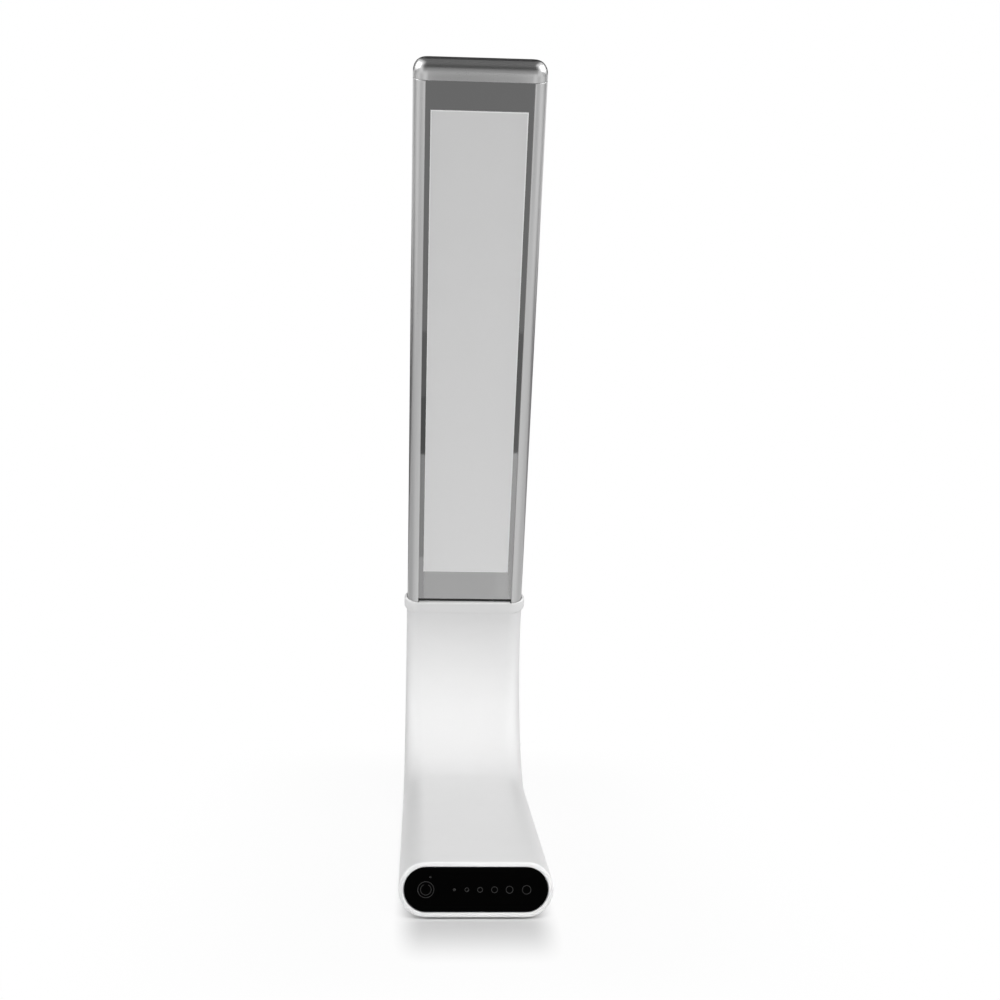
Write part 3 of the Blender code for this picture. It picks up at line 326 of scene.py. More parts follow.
def markInk():
    made = Finish("mark_ink")
    grain = made.noise(inkLook["grain"], 2.0)
    made.set(Base_Color=made.tone(grain, inkLook["dark"], inkLook["light"]),
             Roughness=inkLook["roughness"] + 0.1 * grain)
    return made.material


finishes = {name: moulded(name) for name in mouldings}
finishes.update({name: bareMetal(name) for name in metals})
finishes.update({"white_steel": whiteSteel(), "black_acrylic": blackAcrylic(), "mirror_glass": mirrorGlass(),
                 "satin_aluminium": satinAluminium(), "pale_film": paleFilm(), "green_board": greenBoard()})
for row in frame["record"]["subparts"]:
    nodes[row["node"]].data.materials.clear()
    nodes[row["node"]].data.materials.append(finishes[row["material_slot"]])
print("finishes:", len(finishes))


# Modelling helpers
def keepPiece(name, shape, slot, body=None, stands=(), finish=None, sharp=30.0):
    mesh = bpy.data.meshes.new(name)
    shape.to_mesh(mesh)
    shape.free()
    mesh.materials.append(finish or finishes[slot])
    mesh.shade_smooth()
    mesh.set_sharp_from_angle(angle=math.radians(sharp))
    piece = bpy.data.objects.new(name, mesh)
    bpy.context.scene.collection.objects.link(piece)
    if body:
        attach(piece, body)
    if stands:
        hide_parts(*stands)
    return piece


def carved(shape, tool):
    # takes a tool shape away and hands back the rest
    things = []
    for part in (shape, tool):
        mesh = bpy.data.meshes.new("carving")
        part.to_mesh(mesh)
        part.free()
        things.append(bpy.data.objects.new("carving", mesh))
        bpy.context.scene.collection.objects.link(things[-1])
    cut = things[0].modifiers.new("cut", "BOOLEAN")
    cut.operation = "DIFFERENCE"
    cut.solver = "EXACT"
    cut.object = things[1]
    bpy.context.view_layer.update()
    rest = bmesh.new()
    rest.from_object(things[0], bpy.context.evaluated_depsgraph_get())
    for thing in things:
        bpy.data.objects.remove(thing)
    return rest


def copied(node):
    # a CAD node's triangles, joined into faces
    shape = bmesh.new()
    shape.from_mesh(nodes[node].data)
    bmesh.ops.remove_doubles(shape, verts=shape.verts, dist=0.001 * mm)
    bmesh.ops.dissolve_limit(shape, angle_limit=math.radians(0.5), verts=shape.verts, edges=shape.edges)
    return shape


def bevelled(shape, edges, width, segments=3):
    bmesh.ops.bevel(shape, geom=edges, offset=width, segments=segments, profile=0.5, affect="EDGES",
                    material=-1)


def block(shape, space, low, high, edgeRound=0.0):
    # a box between two corners of a space, with its edges eased
    middle = (low + high) / 2
    place = space @ Matrix.Translation(middle) @ Matrix.Diagonal((*(high - low), 1.0))
    made = bmesh.ops.create_cube(shape, size=1.0, matrix=place)
    if edgeRound:
        bevelled(shape, list({edge for vertex in made["verts"] for edge in vertex.link_edges}), edgeRound)


# A stadium section as (place on the flat, direction of the round), swept through stations
section = {"roundSteps": 24, "flatCuts": 7}


def sectionPoints():
    points = []
    for side in (1, -1):
        for step in range(section["roundSteps"] + 1):
            turn = math.pi * step / section["roundSteps"] - side * math.pi / 2
            points.append((side, math.cos(turn), math.sin(turn)))
        for cut in range(1, section["flatCuts"] + 1):
            points.append((side * (1.0 - 2.0 * cut / (section["flatCuts"] + 1)), 0.0, float(side)))
    return points


outline = sectionPoints()


def placeRing(ring, station):
    # a station is a space on the line, a width and a depth
    space, width, depth = station
    radius = depth / 2
    for vertex, (side, across, rise) in zip(ring, outline):
        vertex.co = space @ Vector((side * (width / 2 - radius) + radius * across, 0.0, radius * rise))


def sweep(stations, close):
    shape = bmesh.new()
    ring = bmesh.ops.create_circle(shape, segments=len(outline), radius=1.0)["verts"]
    placeRing(ring, stations[0])
    first = list(shape.edges)
    edges = first
    for station in stations[1:]:
        grown = bmesh.ops.extrude_edge_only(shape, edges=edges)["geom"]
        fresh = {item for item in grown if isinstance(item, bmesh.types.BMVert)}
        ring = [next(edge.other_vert(vertex) for edge in vertex.link_edges
                     if edge.other_vert(vertex) in fresh) for vertex in ring]
        edges = [item for item in grown if isinstance(item, bmesh.types.BMEdge) and set(item.verts) <= fresh]
        placeRing(ring, station)
    if close == "bridge":
        bmesh.ops.bridge_loops(shape, edges=first + edges)
    else:
        bmesh.ops.holes_fill(shape, edges=shape.edges)
    bmesh.ops.recalc_face_normals(shape, faces=shape.faces)
    return shape


def stationAt(distance, width, depth, inset=0.0):
    return lineSpace(distance), width - 2 * inset, depth - 2 * inset


def roundOver(radius, steps):
    # a quarter round as (distance from the end, inset), from the end face out to the side
    turns = [math.pi / 2 * step / steps for step in range(steps + 1)]
    return [(radius * (1 - math.cos(turn)), radius * (1 - math.sin(turn))) for turn in turns]


# Base shell
shellLook = {
    "rimRound": 0.8 * mm,
    "lipRound": 0.25 * mm,
    "lipShoulder": 1.4,        # flat beside the lip, in lip rounds
    "wall": 3.0 * mm,
    "roundSteps": 6,
    "recessGap": 0.3 * mm,
    "recessCorner": 4.0 * mm,
    "recessSteps": 6,
    "recessDepth": 1.8 * mm,
    "wellDepth": 0.8 * mm,
    "wellSteps": 48,
    "windowGap": 0.3 * mm,
    "windowStep": 0.5 * mm,
    "windowOver": 0.3 * mm,
    "windowFlare": 0.5 * mm,
}


def baseShell():
    panelLow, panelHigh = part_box("touch_panel")
    gap = shellLook["recessGap"]
    seat = panelHigh.y - shellLow.y + gap
    mouth = panelLow.x - shellLow.x - gap
    rim, lip, wall = shellLook["rimRound"], shellLook["lipRound"], shellLook["wall"]
    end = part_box("neck_sleeve")[0].y - shellLow.y
    profile = [(seat, mouth), (lip, mouth), (0.0, mouth - lip), (0.0, mouth - shellLook["lipShoulder"] * lip)]
    profile += roundOver(rim, shellLook["roundSteps"])
    profile += [(rim + lip, 0.0), (end / 2, 0.0), (end - lip, 0.0), (end, 0.0)]
    profile += [(end, wall), (seat, wall)]
    stations = [stationAt(along - line["flat"], line["width"], baseDepth, inset) for along, inset in profile]
    shape = sweep(stations, "bridge")

    tool = bmesh.new()
    plateLow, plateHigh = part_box("bottom_plate")
    grow = Vector((gap, gap, 0.0))
    low = plateLow - grow - Vector((0.0, 0.0, shellLook["recessDepth"]))
    high = Vector((plateHigh.x + gap, plateHigh.y + gap, plateLow.z + shellLook["recessDepth"]))
    block(tool, Matrix(), low, high)
    upright = [edge for edge in tool.edges if abs(edge.verts[0].co.z - edge.verts[1].co.z) > mm]
    bevelled(tool, upright, shellLook["recessCorner"], shellLook["recessSteps"])
    for number in range(1, 5):
        footLow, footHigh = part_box("rubber_foot_%d" % number)
        centre = (footLow + footHigh) / 2
        centre.z = shellLow.z
        radius = (footHigh.x - footLow.x) / 2 + gap
        bmesh.ops.create_cone(tool, cap_ends=True, segments=shellLook["wellSteps"], radius1=radius,
                              radius2=radius, depth=2 * shellLook["wellDepth"],
                              matrix=Matrix.Translation(centre))
    shape = carved(shape, tool)

    socketLow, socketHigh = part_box("charge_socket")
    grow = shellLook["windowGap"]
    size = socketHigh - socketLow
    side = Matrix.Translation((0.0, (socketLow.y + socketHigh.y) / 2, (socketLow.z + socketHigh.z) / 2))
    side = side @ Matrix.Rotation(-math.pi / 2, 4, "Z")
    depths = [(socketLow.x, 0.0), (socketHigh.x + shellLook["windowStep"], 0.0),
              (shellHigh.x + shellLook["windowOver"], shellLook["windowFlare"])]
    tool = sweep([(side @ Matrix.Translation((0.0, along, 0.0)), size.y + 2 * (grow + flare),
                   size.z + 2 * (grow + flare)) for along, flare in depths], "fill")
    shape = carved(shape, tool)
    keepPiece("baseShell", shape, "white_plastic", "base", ["base_shell"])


# Neck sleeve: one piece for each hinge's share of the bend
neckLook = {"wall": 1.6 * mm, "rings": 12, "ease": 0.05 * mm, "blendInset": 0.06}


def eased(share):
    share = min(max(share, 0.0), 1.0)
    return share * share * (3.0 - 2.0 * share)


def neckDepthAt(distance):
    return baseDepth + (line["neckDepth"] - baseDepth) * eased(distance / bendLength)


def bendAcross(piece, number):
    # bakes the piece's place into its mesh; the ends of the hinge's share are found but not used
    step = bendLength / len(frame["joints"])
    inset = step * neckLook["blendInset"]
    lineSpace(step * number + inset).translation
    lineSpace(step * (number + 1) - inset).translation
    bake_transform(piece)


def neckSleeve():
    joints = frame["joints"]
    step = bendLength / len(joints)
    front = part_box("neck_sleeve")[0].y - bendCentre.y
    tail = boxIn(headSpace, "neck_sleeve")[1].z
    for number in range(len(joints)):
        start, end = step * number, step * (number + 1)
        places = [start, start + neckLook["ease"]]
        places += [start + step * share / neckLook["rings"] for share in range(1, neckLook["rings"])]
        places += [end - neckLook["ease"], end]
        if number == 0:
            places = [front, front + neckLook["ease"]] + places[:1] + places[2:]
        if number == len(joints) - 1:
            places += [bendLength + tail]
        stations = [stationAt(place, line["width"], neckDepthAt(place)) for place in places]
        stations += [stationAt(place, line["width"], neckDepthAt(place), neckLook["wall"])
                     for place in reversed(places)]
        piece = keepPiece("neckSleeve%d" % (number + 1), sweep(stations, "bridge"), "white_silicone",
                          stands=["neck_sleeve"])
        bendAcross(piece, number)


# Lead ribbon: the CAD strip, parted at the hinges into one piece for each hinge's share
def leadRibbon():
    joints = frame["joints"]
    step = bendLength / len(joints)
    for number in range(len(joints)):
        shape = copied("lead_ribbon")
        for place, keptSide in ((number, 1), (number + 1, -1)):
            if 0 < place < len(joints):
                space = lineSpace(step * place)
                cut = bmesh.ops.bisect_plane(shape, geom=shape.verts[:] + shape.edges[:] + shape.faces[:],
                                             plane_co=space.translation, clear_outer=True,
                                             plane_no=space.to_3x3() @ Vector((0.0, -keptSide, 0.0)))
                edges = [thing for thing in cut["geom_cut"] if isinstance(thing, bmesh.types.BMEdge)]
                bmesh.ops.contextual_create(shape, geom=edges)
        bmesh.ops.recalc_face_normals(shape, faces=shape.faces)
        piece = keepPiece("leadRibbon%d" % (number + 1), shape, "black_plastic", stands=["lead_ribbon"])
        bendAcross(piece, number)


# Collar: the CAD bead, drawn in at the front and back and closed down onto the sleeve
collarLook = {
    "round": 1.4 * mm,         # the CAD bead's own round
    "cadGap": 0.3 * mm,        # and its gap above the sleeve
    "drawnIn": 1.1 * mm,
    "topRound": 0.9 * mm,
    "topRise": 0.3 * mm,
    "footRound": 1.2 * mm,
    "footGap": 0.02 * mm,
    "footProud": 0.03 * mm,
    "near": 0.01 * mm,
}


def collarBead():
    shape = copied("collar")
    high = boxIn(headSpace, "collar")[1]
    sleeveTop = boxIn(headSpace, "neck_sleeve")[1].z
    outer, look = high.y, collarLook
    flat = high.x - outer
    foot = sleeveTop + look["cadGap"]
    inverse = headSpace.inverted()
    for vertex in shape.verts:
        spot = inverse @ vertex.co
        side = min(max(spot.x, -flat), flat)
        reach = math.hypot(spot.x - side, spot.y)
        share = min(max((reach - outer + look["round"]) / look["round"], 0.0), 1.0)
        skin = reach > outer - look["round"] - look["near"]
        spot.y *= 1.0 - share * look["drawnIn"] / outer
        if spot.z > high.z - look["round"] - look["near"]:
            below = (high.z - spot.z) * look["topRound"] / look["round"]
            spot.z = high.z + look["topRise"] - below
        elif skin and spot.z < foot + look["round"] + look["near"]:
            spot.z = sleeveTop + look["footGap"] + (spot.z - foot) * look["footRound"] / look["round"]
            # the foot closes onto the sleeve's skin, with no groove between them
            across = Vector((spot.x - side, spot.y, 0.0))
            least = line["neckDepth"] / 2 + look["footProud"]
            if across.length < least:
                spot += across * (least / across.length - 1.0)
        vertex.co = headSpace @ spot
    keepPiece("collarBead", shape, "white_silicone", "head", ["collar"], sharp=40.0)


# Head frame: the CAD extrusion with its lips and its upper end eased
frameLook = {"lipRound": 0.40 * mm, "lipStrip": 0.55 * mm, "endRound": 0.25 * mm, "lipNear": 0.2 * mm,
             "sideNear": 0.15 * mm, "endNear": 0.01 * mm}


def headFrame():
    shape = copied("head_frame")
    inverse = headSpace.inverted()
    low, high = boxIn(headSpace, "head_frame")
    glassHigh = boxIn(headSpace, "panel_glass")[1].x
    radius = (high.y - low.y) / 2
    flat = high.x - radius

    def lipEdges():
        found = []
        for edge in shape.edges:
            first, second = [inverse @ vertex.co for vertex in edge.verts]
            front = max(first.y, second.y) < low.y + frameLook["lipNear"]
            inner = max(abs(first.x), abs(second.x)) < glassHigh - mm
            if abs(first.z - second.z) > (high.z - low.z) / 2 and front and inner:
                found.append(edge)
        return found

    # a cut beside each lip keeps the rail's shading clear of the rounded lip
    lip = max(abs((inverse @ vertex.co).x) for edge in lipEdges() for vertex in edge.verts)
    for side in (-1, 1):
        bmesh.ops.bisect_plane(shape, geom=shape.verts[:] + shape.edges[:] + shape.faces[:],
                               plane_co=headSpace @ Vector((side * (lip + frameLook["lipStrip"]), 0.0, 0.0)),
                               plane_no=headSpace.to_3x3() @ Vector((1.0, 0.0, 0.0)))
    bevelled(shape, lipEdges(), frameLook["lipRound"])
    ends = []
    for edge in shape.edges:
        spots = [inverse @ vertex.co for vertex in edge.verts]
        reaches = [math.hypot(max(abs(spot.x) - flat, 0.0), spot.y) for spot in spots]
        outside = min(reaches) > radius - frameLook["sideNear"]
        if outside and min(spot.z for spot in spots) > high.z - frameLook["endNear"]:
            ends.append(edge)
    bevelled(shape, ends, frameLook["endRound"], 2)
    keepPiece("headFrame", shape, "satin_aluminium", "head", ["head_frame"])


# Top cap: a bullnose over the frame's upper end
capLook = {"noseInset": 4.6 * mm, "noseRise": 6.0 * mm, "noseSteps": 16, "edgeRound": 0.12 * mm,
           "edgeSteps": 3, "seam": 0.06 * mm}


def topCap():
    low, high = boxIn(headSpace, "top_cap")
    frameTop = boxIn(headSpace, "head_frame")[1].z
    bottom = frameTop + capLook["seam"]
    width, depth = high.x - low.x, high.y - low.y
    edge, inset, rise = capLook["edgeRound"], capLook["noseInset"], capLook["noseRise"]
    profile = [(bottom + along, drawn) for along, drawn in roundOver(edge, capLook["edgeSteps"])]
    profile.append((bottom + 2 * edge, 0.0))
    profile.append((high.z - rise - edge, 0.0))
    nose = reversed(roundOver(1.0, capLook["noseSteps"]))
    profile += [(high.z - rise * along, inset * drawn) for along, drawn in nose]
    profile.append((high.z, inset + edge))
    shape = sweep([stationAt(bendLength + up, width, depth, drawn) for up, drawn in profile], "fill")
    keepPiece("topCap", shape, "satin_aluminium", "head", ["top_cap"])


# Light panel: glass, film and a black strip filling the dark gap at the glass's foot
panelLook = {"glassRound": 0.12 * mm, "filmRound": 0.08 * mm, "stripRound": 0.02 * mm, "stripProud": 0.08 * mm,
             "stripClear": 0.01 * mm, "stripOver": 0.35 * mm, "stripShort": 1.2 * mm, "stripGap": 0.35 * mm}


def lightPanel():
    glassLow, glassHigh = boxIn(headSpace, "panel_glass")
    for name, node, slot, edgeRound in (
            ("panelGlass", "panel_glass", "mirror_glass", panelLook["glassRound"]),
            ("lightFilm", "light_film", "pale_film", panelLook["filmRound"])):
        shape = bmesh.new()
        block(shape, headSpace, *boxIn(headSpace, node), edgeRound)
        keepPiece(name, shape, slot, "head", [node], sharp=10.0)

    collarTop = boxIn(headSpace, "collar")[1].z
    shape = bmesh.new()
    short, gap, proud = panelLook["stripShort"], panelLook["stripGap"], panelLook["stripProud"]
    back = glassLow.y - panelLook["stripClear"]
    stripLow = Vector((glassLow.x + short, glassLow.y - proud, collarTop + gap))
    stripHigh = Vector((glassHigh.x - short, back, glassLow.z + panelLook["stripOver"]))
    block(shape, headSpace, stripLow, stripHigh, panelLook["stripRound"])
    keepPiece("panelFootStrip", shape, "black_plastic", "head", sharp=10.0)


# Touch panel and the marks printed on it
touchLook = {"edgeRound": 0.20 * mm, "edgeSteps": 3}
markLook = {
    "line": 0.28 * mm,
    "thickness": 0.02 * mm,
    "ringSteps": 48,
    "dotSteps": 32,
    "powerX": -19.4 * mm,
    "powerRing": 3.1 * mm,
    "powerArc": 2.05 * mm,
    "powerOpening": math.radians(50.0),
    "levelX": [-8.4 * mm, -3.6 * mm, 1.5 * mm, 7.1 * mm, 12.9 * mm, 19.5 * mm],
    "levelRadius": [0.55 * mm, 0.75 * mm, 0.95 * mm, 1.15 * mm, 1.35 * mm, 1.65 * mm],
    "lampX": -17.7 * mm,
    "lampRise": 4.9 * mm,
    "lampRadius": 0.40 * mm,
}


def touchPanel():
    low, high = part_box("touch_panel")
    edge = touchLook["edgeRound"]
    profile = [(low.y, 2 * edge)]
    profile += [(low.y + along, inset) for along, inset in roundOver(edge, touchLook["edgeSteps"])]
    profile.append((low.y + 2 * edge, 0.0))
    profile.append((high.y, 0.0))
    width, depth = high.x - low.x, high.z - low.z
    stations = [stationAt(place - bendCentre.y, width, depth, inset) for place, inset in profile]
    keepPiece("touchPanel", sweep(stations, "fill"), "black_acrylic", "base", ["touch_panel"])


def touchMarks():
    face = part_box("touch_panel")[0].y
    middle = bendCentre.z - line["bendRadius"]
    shape = bmesh.new()

    def ring(x, rise, radius, opening=0.0):
        # a flat ring of line width, facing the user, open at the top where asked
        half = markLook["line"] / 2
        first = shape.verts.new((x, face, middle + rise + radius - half))
        second = shape.verts.new((x, face, middle + rise + radius + half))
        stroke = [first, second, shape.edges.new((first, second))]
        centre = (x, face, middle + rise)
        bmesh.ops.rotate(shape, verts=stroke[:2], cent=centre, matrix=Matrix.Rotation(opening / 2, 3, "Y"))
        bmesh.ops.spin(shape, geom=stroke, cent=centre, axis=(0.0, 1.0, 0.0), angle=2 * math.pi - opening,
                       steps=markLook["ringSteps"], use_merge=opening == 0.0)

    def dot(x, rise, radius):
        place = Matrix.Translation((x, face, middle + rise)) @ Matrix.Rotation(math.pi / 2, 4, "X")
        bmesh.ops.create_circle(shape, cap_ends=True, segments=markLook["dotSteps"], radius=radius,
                                matrix=place)

    ring(markLook["powerX"], 0.0, markLook["powerRing"])
    ring(markLook["powerX"], 0.0, markLook["powerArc"], markLook["powerOpening"])
    dot(markLook["lampX"], markLook["lampRise"], markLook["lampRadius"])
    dot(markLook["levelX"][0], 0.0, markLook["levelRadius"][0])
    for x, radius in list(zip(markLook["levelX"], markLook["levelRadius"]))[1:]:
        ring(x, 0.0, radius)
    bmesh.ops.recalc_face_normals(shape, faces=shape.faces)
    grown = bmesh.ops.extrude_face_region(shape, geom=list(shape.faces))["geom"]
    raised = [item for item in grown if isinstance(item, bmesh.types.BMVert)]
    bmesh.ops.translate(shape, verts=raised, vec=(0.0, -markLook["thickness"], 0.0))
    bmesh.ops.recalc_face_normals(shape, faces=shape.faces)
    keepPiece("touchMarks", shape, "black_acrylic", "base", finish=markInk())


# Fasteners and feet
screwLook = {"head": 2.0 * mm, "shank": 1.0 * mm, "sink": 1.0 * mm, "edge": 0.15 * mm,
             "crossLength": 2.2 * mm, "crossWidth": 0.5 * mm, "crossDepth": 0.6 * mm,
             "bottomTurn": 0.5, "headTurn": 0.4}
footLook = {"edgeRound": 0.35 * mm, "edgeSteps": 4, "dish": 0.15 * mm, "dishReach": 0.60, "rimReach": 0.68}


def lathed(shape, space, profile, steps=40):
    # a profile of radius and height, turned about the space's z axis
    points = [shape.verts.new(space @ Vector((radius, 0.0, height))) for radius, height in profile]
    edges = [shape.edges.new(pair) for pair in zip(points, points[1:])]
    axis = space.to_3x3() @ Vector((0.0, 0.0, 1.0))
    bmesh.ops.spin(shape, geom=points + edges, cent=space.translation, axis=axis, angle=2 * math.pi,
                   steps=steps, use_merge=True)
    bmesh.ops.remove_doubles(shape, verts=shape.verts, dist=0.0005 * mm)
    bmesh.ops.recalc_face_normals(shape, faces=shape.faces)


def sunkScrew(name, node, space, length, body):
    # space: origin in the middle of the head's face, z into the part
    look = screwLook
    shape = bmesh.new()
    lathed(shape, space, [(0.0, 0.0), (look["head"] - look["edge"], 0.0), (look["head"], look["edge"]),
                          (look["shank"], look["sink"]), (look["shank"], length), (0.0, length)])
    arm = Vector((look["crossLength"] / 2, look["crossWidth"] / 2, look["crossDepth"]))
    for turn in (0.0, math.pi / 2):
        tool = bmesh.new()
        block(tool, space @ Matrix.Rotation(turn, 4, "Z"), -arm, arm)
        shape = carved(shape, tool)
    keepPiece(name, shape, "bare_steel", body, [node])


def screwsAndFeet():
    for number in range(1, 5):
        low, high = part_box("bottom_screw_%d" % number)
        space = Matrix.Translation(((low.x + high.x) / 2, (low.y + high.y) / 2, low.z))
        space = space @ Matrix.Rotation(screwLook["bottomTurn"] * number, 4, "Z")
        sunkScrew("bottomScrew%d" % number, "bottom_screw_%d" % number, space, high.z - low.z, "base")

        low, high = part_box("rubber_foot_%d" % number)
        radius, edge = (high.x - low.x) / 2, footLook["edgeRound"]
        shape = bmesh.new()
        space = Matrix.Translation(((low.x + high.x) / 2, (low.y + high.y) / 2, low.z))
        profile = [(0.0, footLook["dish"]), (footLook["dishReach"] * radius, footLook["dish"]),
                   (footLook["rimReach"] * radius, 0.0)]
        turns = [math.pi / 2 * step / footLook["edgeSteps"] for step in range(footLook["edgeSteps"] + 1)]
        profile += [(radius - edge + edge * math.sin(turn), edge - edge * math.cos(turn)) for turn in turns]
        profile += [(radius, high.z - low.z), (0.0, high.z - low.z)]
        lathed(shape, space, profile)
        keepPiece("rubberFoot%d" % number, shape, "grey_rubber", "base", ["rubber_foot_%d" % number])

    for number in (1, 2):
        node = "head_bracket_screw_%d" % number
        low, high = boxIn(headSpace, node)
        space = headSpace @ Matrix.Translation(((low.x + high.x) / 2, high.y, (low.z + high.z) / 2))
        space = space @ Matrix.Rotation(math.pi / 2, 4, "X")
        space = space @ Matrix.Rotation(screwLook["headTurn"] * number, 4, "Z")
        sunkScrew("headScrew%d" % number, node, space, high.y - low.y, "head")


# Charging socket: the CAD shell smoothed, with the contact tongue in its mouth
tongueLook = {"width": 6.7 * mm, "thickness": 0.7 * mm, "floor": 1.5 * mm, "reach": 5.0 * mm,
              "edgeRound": 0.12 * mm}


def chargeSocket():
    keepPiece("chargeSocket", copied("charge_socket"), "bare_steel", "base", ["charge_socket"])
    low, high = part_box("charge_socket")
    middle = (low + high) / 2
    shape = bmesh.new()
    floor = low.x + tongueLook["floor"]
    half = Vector((0.0, tongueLook["width"] / 2, tongueLook["thickness"] / 2))
    block(shape, Matrix(), Vector((floor, middle.y, middle.z)) - half,
          Vector((floor + tongueLook["reach"], middle.y, middle.z)) + half, tongueLook["edgeRound"])
    keepPiece("socketTongue", shape, "black_plastic", "base")


for build in (baseShell, neckSleeve, leadRibbon, collarBead, headFrame, topCap, lightPanel, touchPanel,
              touchMarks, screwsAndFeet, chargeSocket):
    build()
    print("built:", build.__name__)


# Camera, at the photograph's place
cameraLook = {"place": (-23.24 * mm, -688.25 * mm, 174.08 * mm), "pitch": -0.02094, "yaw": -0.05231,
              "roll": -0.01561, "lens": 54.0, "sensor": 36.0, "nearest": 0.01}


def setCamera():
    lens = bpy.data.cameras.new("camera")
    lens.lens = cameraLook["lens"]
    lens.sensor_width = cameraLook["sensor"]
    lens.clip_start = cameraLook["nearest"]
    camera = bpy.data.objects.new("camera", lens)
    turn = Matrix.Rotation(cameraLook["yaw"], 4, "Z") @ Matrix.Rotation(cameraLook["pitch"], 4, "X")
    turn = turn @ Matrix.Rotation(cameraLook["roll"], 4, "Y") @ Matrix.Rotation(math.pi / 2, 4, "X")
    camera.matrix_world = Matrix.Translation(cameraLook["place"]) @ turn
    bpy.context.scene.collection.objects.link(camera)
    bpy.context.scene.camera = camera


# Pale floor and white surroundings; its shadows, close and wide, fade out at the sides, front and rear
stageLook = {"floor": 0.75, "reach": 6.0, "ambient": 0.25, "faint": 0.06,
             "close": [(0.020, 0.034), (0.122, 0.172), (0.10, 0.20)],
             "wide": [(0.040, 0.160), (0.140, 0.260), (0.14, 0.26)]}


def seenDirectly(tree):
    # 1 where the camera, a mirror or a clear piece looks straight at the surroundings
    rays = tree.node("ShaderNodeLightPath").socket.node.outputs
    direct = Wire(tree, rays["Is Camera Ray"]) + Wire(tree, rays["Is Glossy Ray"])
    return direct + Wire(tree, rays["Is Transmission Ray"])


def sheetOf(name, space, width, length):
    # a flat stage sheet in the x and y of a space
    shape = bmesh.new()
    bmesh.ops.create_grid(shape, x_segments=1, y_segments=1, size=0.5,
                          matrix=space @ Matrix.Diagonal((width, length, 1.0, 1.0)))
    mesh = bpy.data.meshes.new(name)
    shape.to_mesh(mesh)
    shape.free()
    sheet = bpy.data.objects.new(name, mesh)
    bpy.context.scene.collection.objects.link(sheet)
    return sheet


def setStage():
    floor = sheetOf("floor", Matrix(), stageLook["reach"], stageLook["reach"])
    made = Finish("floor_paper")
    direct = seenDirectly(made)
    across = made.node("ShaderNodeSeparateXYZ", {}, {0: made.place}, output=0)
    back = made.node("ShaderNodeSeparateXYZ", {}, {0: made.place}, output=1)
    shadows = []
    for fades in (stageLook["close"], stageLook["wide"]):
        kept = 1.0
        for reach, (start, end) in zip((abs(across), -1.0 * back, back), fades):
            kept = kept * (1.0 - made.node("ShaderNodeMapRange", {"interpolation_type": "SMOOTHSTEP"},
                                           {0: reach, 1: start, 2: end}))
        shadows.append(kept)
    faint = stageLook["faint"] * shadows[1]
    kept = made.node("ShaderNodeMath", {"operation": "MAXIMUM"}, {0: shadows[0], 1: faint})
    paper = made.node("ShaderNodeBsdfDiffuse", {}, {"Color": asColour(stageLook["floor"])})
    glow = made.node("ShaderNodeEmission", {}, {"Color": asColour(1.0)})
    mixed = made.node("ShaderNodeMixShader", {}, {0: direct * (1.0 - kept), 1: paper, 2: glow})
    made.feed(made.tree.nodes["Material Output"].inputs["Surface"], mixed)
    floor.data.materials.append(made.material)

    world = bpy.data.worlds.new("studio")
    bpy.context.scene.world = world
    world.use_nodes = True
    tree = NodeTree(world.node_tree)
    tint = tree.node("ShaderNodeMix", {"data_type": "RGBA"},
                     {0: seenDirectly(tree), 6: asColour(stageLook["ambient"]), 7: asColour(1.0)}, output=2)
    tree.feed(world.node_tree.nodes["Background"].inputs["Color"], tint)


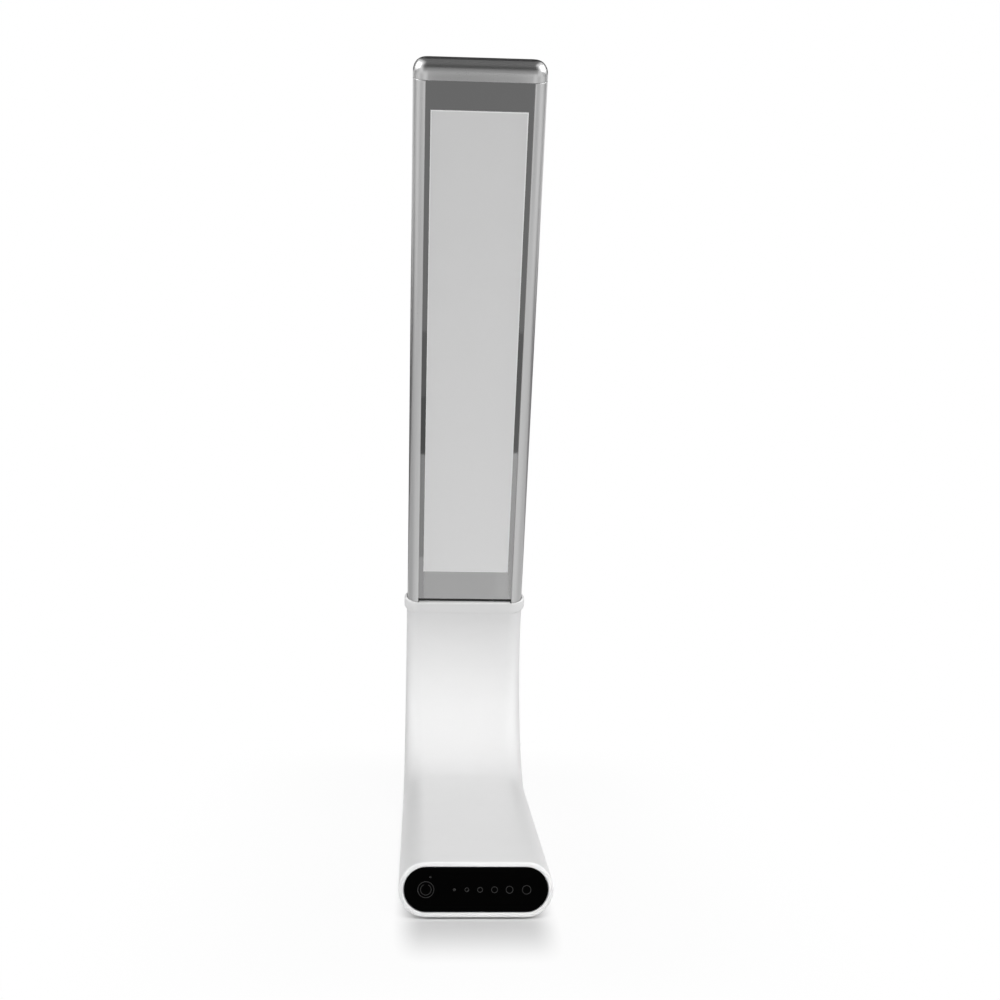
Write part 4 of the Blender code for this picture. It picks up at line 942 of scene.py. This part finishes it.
# Cards that only reflections see; one with no aim lies level and faces up
cards = {
    "frontLow": {"place": (0.0, -1.24, 0.27), "aim": (0.0, 0.0, 0.27),
                 "width": 2.2, "height": 0.54, "tone": 0.42},
    "frontFlag": {"place": (0.0, -1.25, 0.80), "aim": (0.0, 0.0, 0.80),
                  "width": 2.2, "height": 0.52, "tone": 0.06},
    "frontHigh": {"place": (0.0, -1.25, 1.42), "aim": (0.0, 0.0, 1.42),
                  "width": 2.2, "height": 0.74, "tone": 0.16},
    "roofFlag": {"place": (0.0, -0.1, 1.75), "aim": (0.0, -0.1, 0.0),
                 "width": 1.2, "height": 2.6, "tone": 0.18},
    "backFlag": {"place": (0.0, 1.2, 1.22), "aim": (0.0, 0.0, 1.22),
                 "width": 3.0, "height": 1.05, "tone": 0.0},
    "horizonFlag": {"place": (0.0, 1.2, 0.21), "aim": (0.0, 0.0, 0.21),
                    "width": 2.0, "height": 0.42, "tone": 0.05},
    # painted shade: dark cards just over the floor in front of the base, seen only in reflections
    "nearFlag": {"place": (0.0, -0.154, 0.0015), "width": 0.10, "height": 0.072, "tone": 0.19},
    "floorFlag": {"place": (0.0, -0.715, 0.0015), "width": 0.16, "height": 1.05, "tone": 0.275},
    # painted shade: dark cards just over the base's front top and left shoulder, seen only in the mirror
    "baseFlag": {"place": (0.0, -0.0905, 0.0236), "width": 0.062, "height": 0.047, "tone": 0.14},
    "shoulderFlag": {"place": (-0.0256, -0.0285, 0.0236), "width": 0.0088, "height": 0.077, "tone": 0.41},
    "shoulderRear": {"place": (-0.0256, 0.0250, 0.0236), "width": 0.0088, "height": 0.030, "tone": 0.56},
    # painted shade: darker cards just over the floor beside the base, seen only in reflections
    "sideFlag": {"place": (0.045, -0.102, 0.0015), "width": 0.030, "height": 0.032, "tone": 0.20},
    "rightStrip": {"place": (0.045, 0.007, 0.0012), "width": 0.030, "height": 0.186, "tone": 0.62},
    "leftFloor": {"place": (-0.36, -0.10, 0.0008), "width": 0.50, "height": 0.44, "tone": 0.74},
    "rightFloor": {"place": (0.36, -0.10, 0.0008), "width": 0.50, "height": 0.44, "tone": 0.86},
    "leftDip": {"place": (-0.66, -0.35, 0.0012), "width": 0.42, "height": 0.30, "tone": 0.58},
    "rightDip": {"place": (0.60, -0.37, 0.0012), "width": 0.44, "height": 0.30, "tone": 0.58},
    "leftNear": {"place": (-0.17, -0.06, 0.0012), "width": 0.14, "height": 0.26, "tone": 0.86},
    "rightNear": {"place": (0.17, -0.06, 0.0012), "width": 0.14, "height": 0.26, "tone": 0.94},
    "leftFlag": {"place": (-0.70, 0.72, 0.10), "aim": (-0.06, 0.06, 0.10),
                 "width": 1.1, "height": 0.20, "tone": 0.08},
    "rightFlag": {"place": (0.70, 0.72, 0.10), "aim": (0.06, 0.06, 0.10),
                  "width": 1.1, "height": 0.20, "tone": 0.22},
    # painted shade: darker cards just over the floor behind and beside the base, seen only in reflections
    "leftRear": {"place": (-0.59, 0.34, 0.0012), "width": 0.84, "height": 0.52, "tone": 0.58},
    "rightRear": {"place": (0.59, 0.34, 0.0012), "width": 0.84, "height": 0.52, "tone": 0.72},
    "leftWall": {"place": (-1.3, 0.25, 0.43), "aim": (0.0, 0.25, 0.43),
                 "width": 1.6, "height": 0.34, "tone": 0.35},
    "rightWall": {"place": (1.3, 0.25, 0.43), "aim": (0.0, 0.25, 0.43),
                  "width": 1.6, "height": 0.34, "tone": 0.35},
    # glowing cards that light nothing, seen only in reflections: the highlights on the cap's corners
    "leftBox": {"place": (-1.05, -0.09, 0.94), "aim": (0.0, 0.0, 0.35),
                "width": 0.95, "height": 0.80, "tone": 3.2},
    "rightBox": {"place": (1.05, -0.09, 0.94), "aim": (0.0, 0.0, 0.35),
                 "width": 0.95, "height": 0.80, "tone": 3.2},
}


def facing(look):
    place = Vector(look["place"])
    aim = Vector(look.get("aim", (place.x, place.y, 1.0)))
    return Matrix.Translation(place) @ (aim - place).to_track_quat("-Z", "Y").to_matrix().to_4x4()


def setCards():
    for name, look in cards.items():
        card = sheetOf(name, facing(look), look["width"], look["height"])
        made = Finish(name)
        glow = made.node("ShaderNodeEmission", {}, {"Color": asColour(1.0), "Strength": look["tone"]})
        clear = made.node("ShaderNodeBsdfTransparent")
        # a card shows only on the side that it faces, the back of its sheet
        behind = made.node("ShaderNodeNewGeometry", output=6)
        shown = made.node("ShaderNodeMixShader", {}, {0: behind, 1: clear, 2: glow})
        made.feed(made.tree.nodes["Material Output"].inputs["Surface"], shown)
        card.data.materials.append(made.material)
        card.visible_camera = False
        card.visible_diffuse = False
        card.visible_transmission = False
        card.visible_shadow = False


# Soft studio light
lamps = {
    "keyLight": {"place": (0.25, -1.437, 1.61), "aim": (0.0, 0.0, 0.1), "size": 1.2, "power": 27.9},
    "leftLight": {"place": (-1.44, -0.15, 0.42), "aim": (0.0, 0.0, 0.05), "size": 0.9, "power": 6.2},
    "rightLight": {"place": (1.38, -0.15, 0.60), "aim": (0.0, 0.0, 0.05), "size": 0.9, "power": 5.8},
    "backLight": {"place": (0.0, 1.95, 0.50), "aim": (0.0, 0.1, 0.1), "size": 1.2, "power": 5.0},
    "frontFill": {"place": (0.12, -0.60, 0.045), "aim": (0.01, -0.114, 0.010), "size": 0.08, "power": 0.0058,
                  "spread": math.radians(18.0)},
}


def setLamps():
    for name, look in lamps.items():
        light = bpy.data.lights.new(name, "AREA")
        light.shape = "SQUARE"
        light.size = look["size"]
        light.energy = look["power"]
        light.spread = look.get("spread", math.pi)
        lamp = bpy.data.objects.new(name, light)
        lamp.matrix_world = facing(look)
        lamp.visible_glossy = False
        lamp.visible_camera = False
        bpy.context.scene.collection.objects.link(lamp)


setCamera()
setStage()
setCards()
setLamps()
bpy.context.scene.view_settings.view_transform = "Standard"
print("stage and light set")
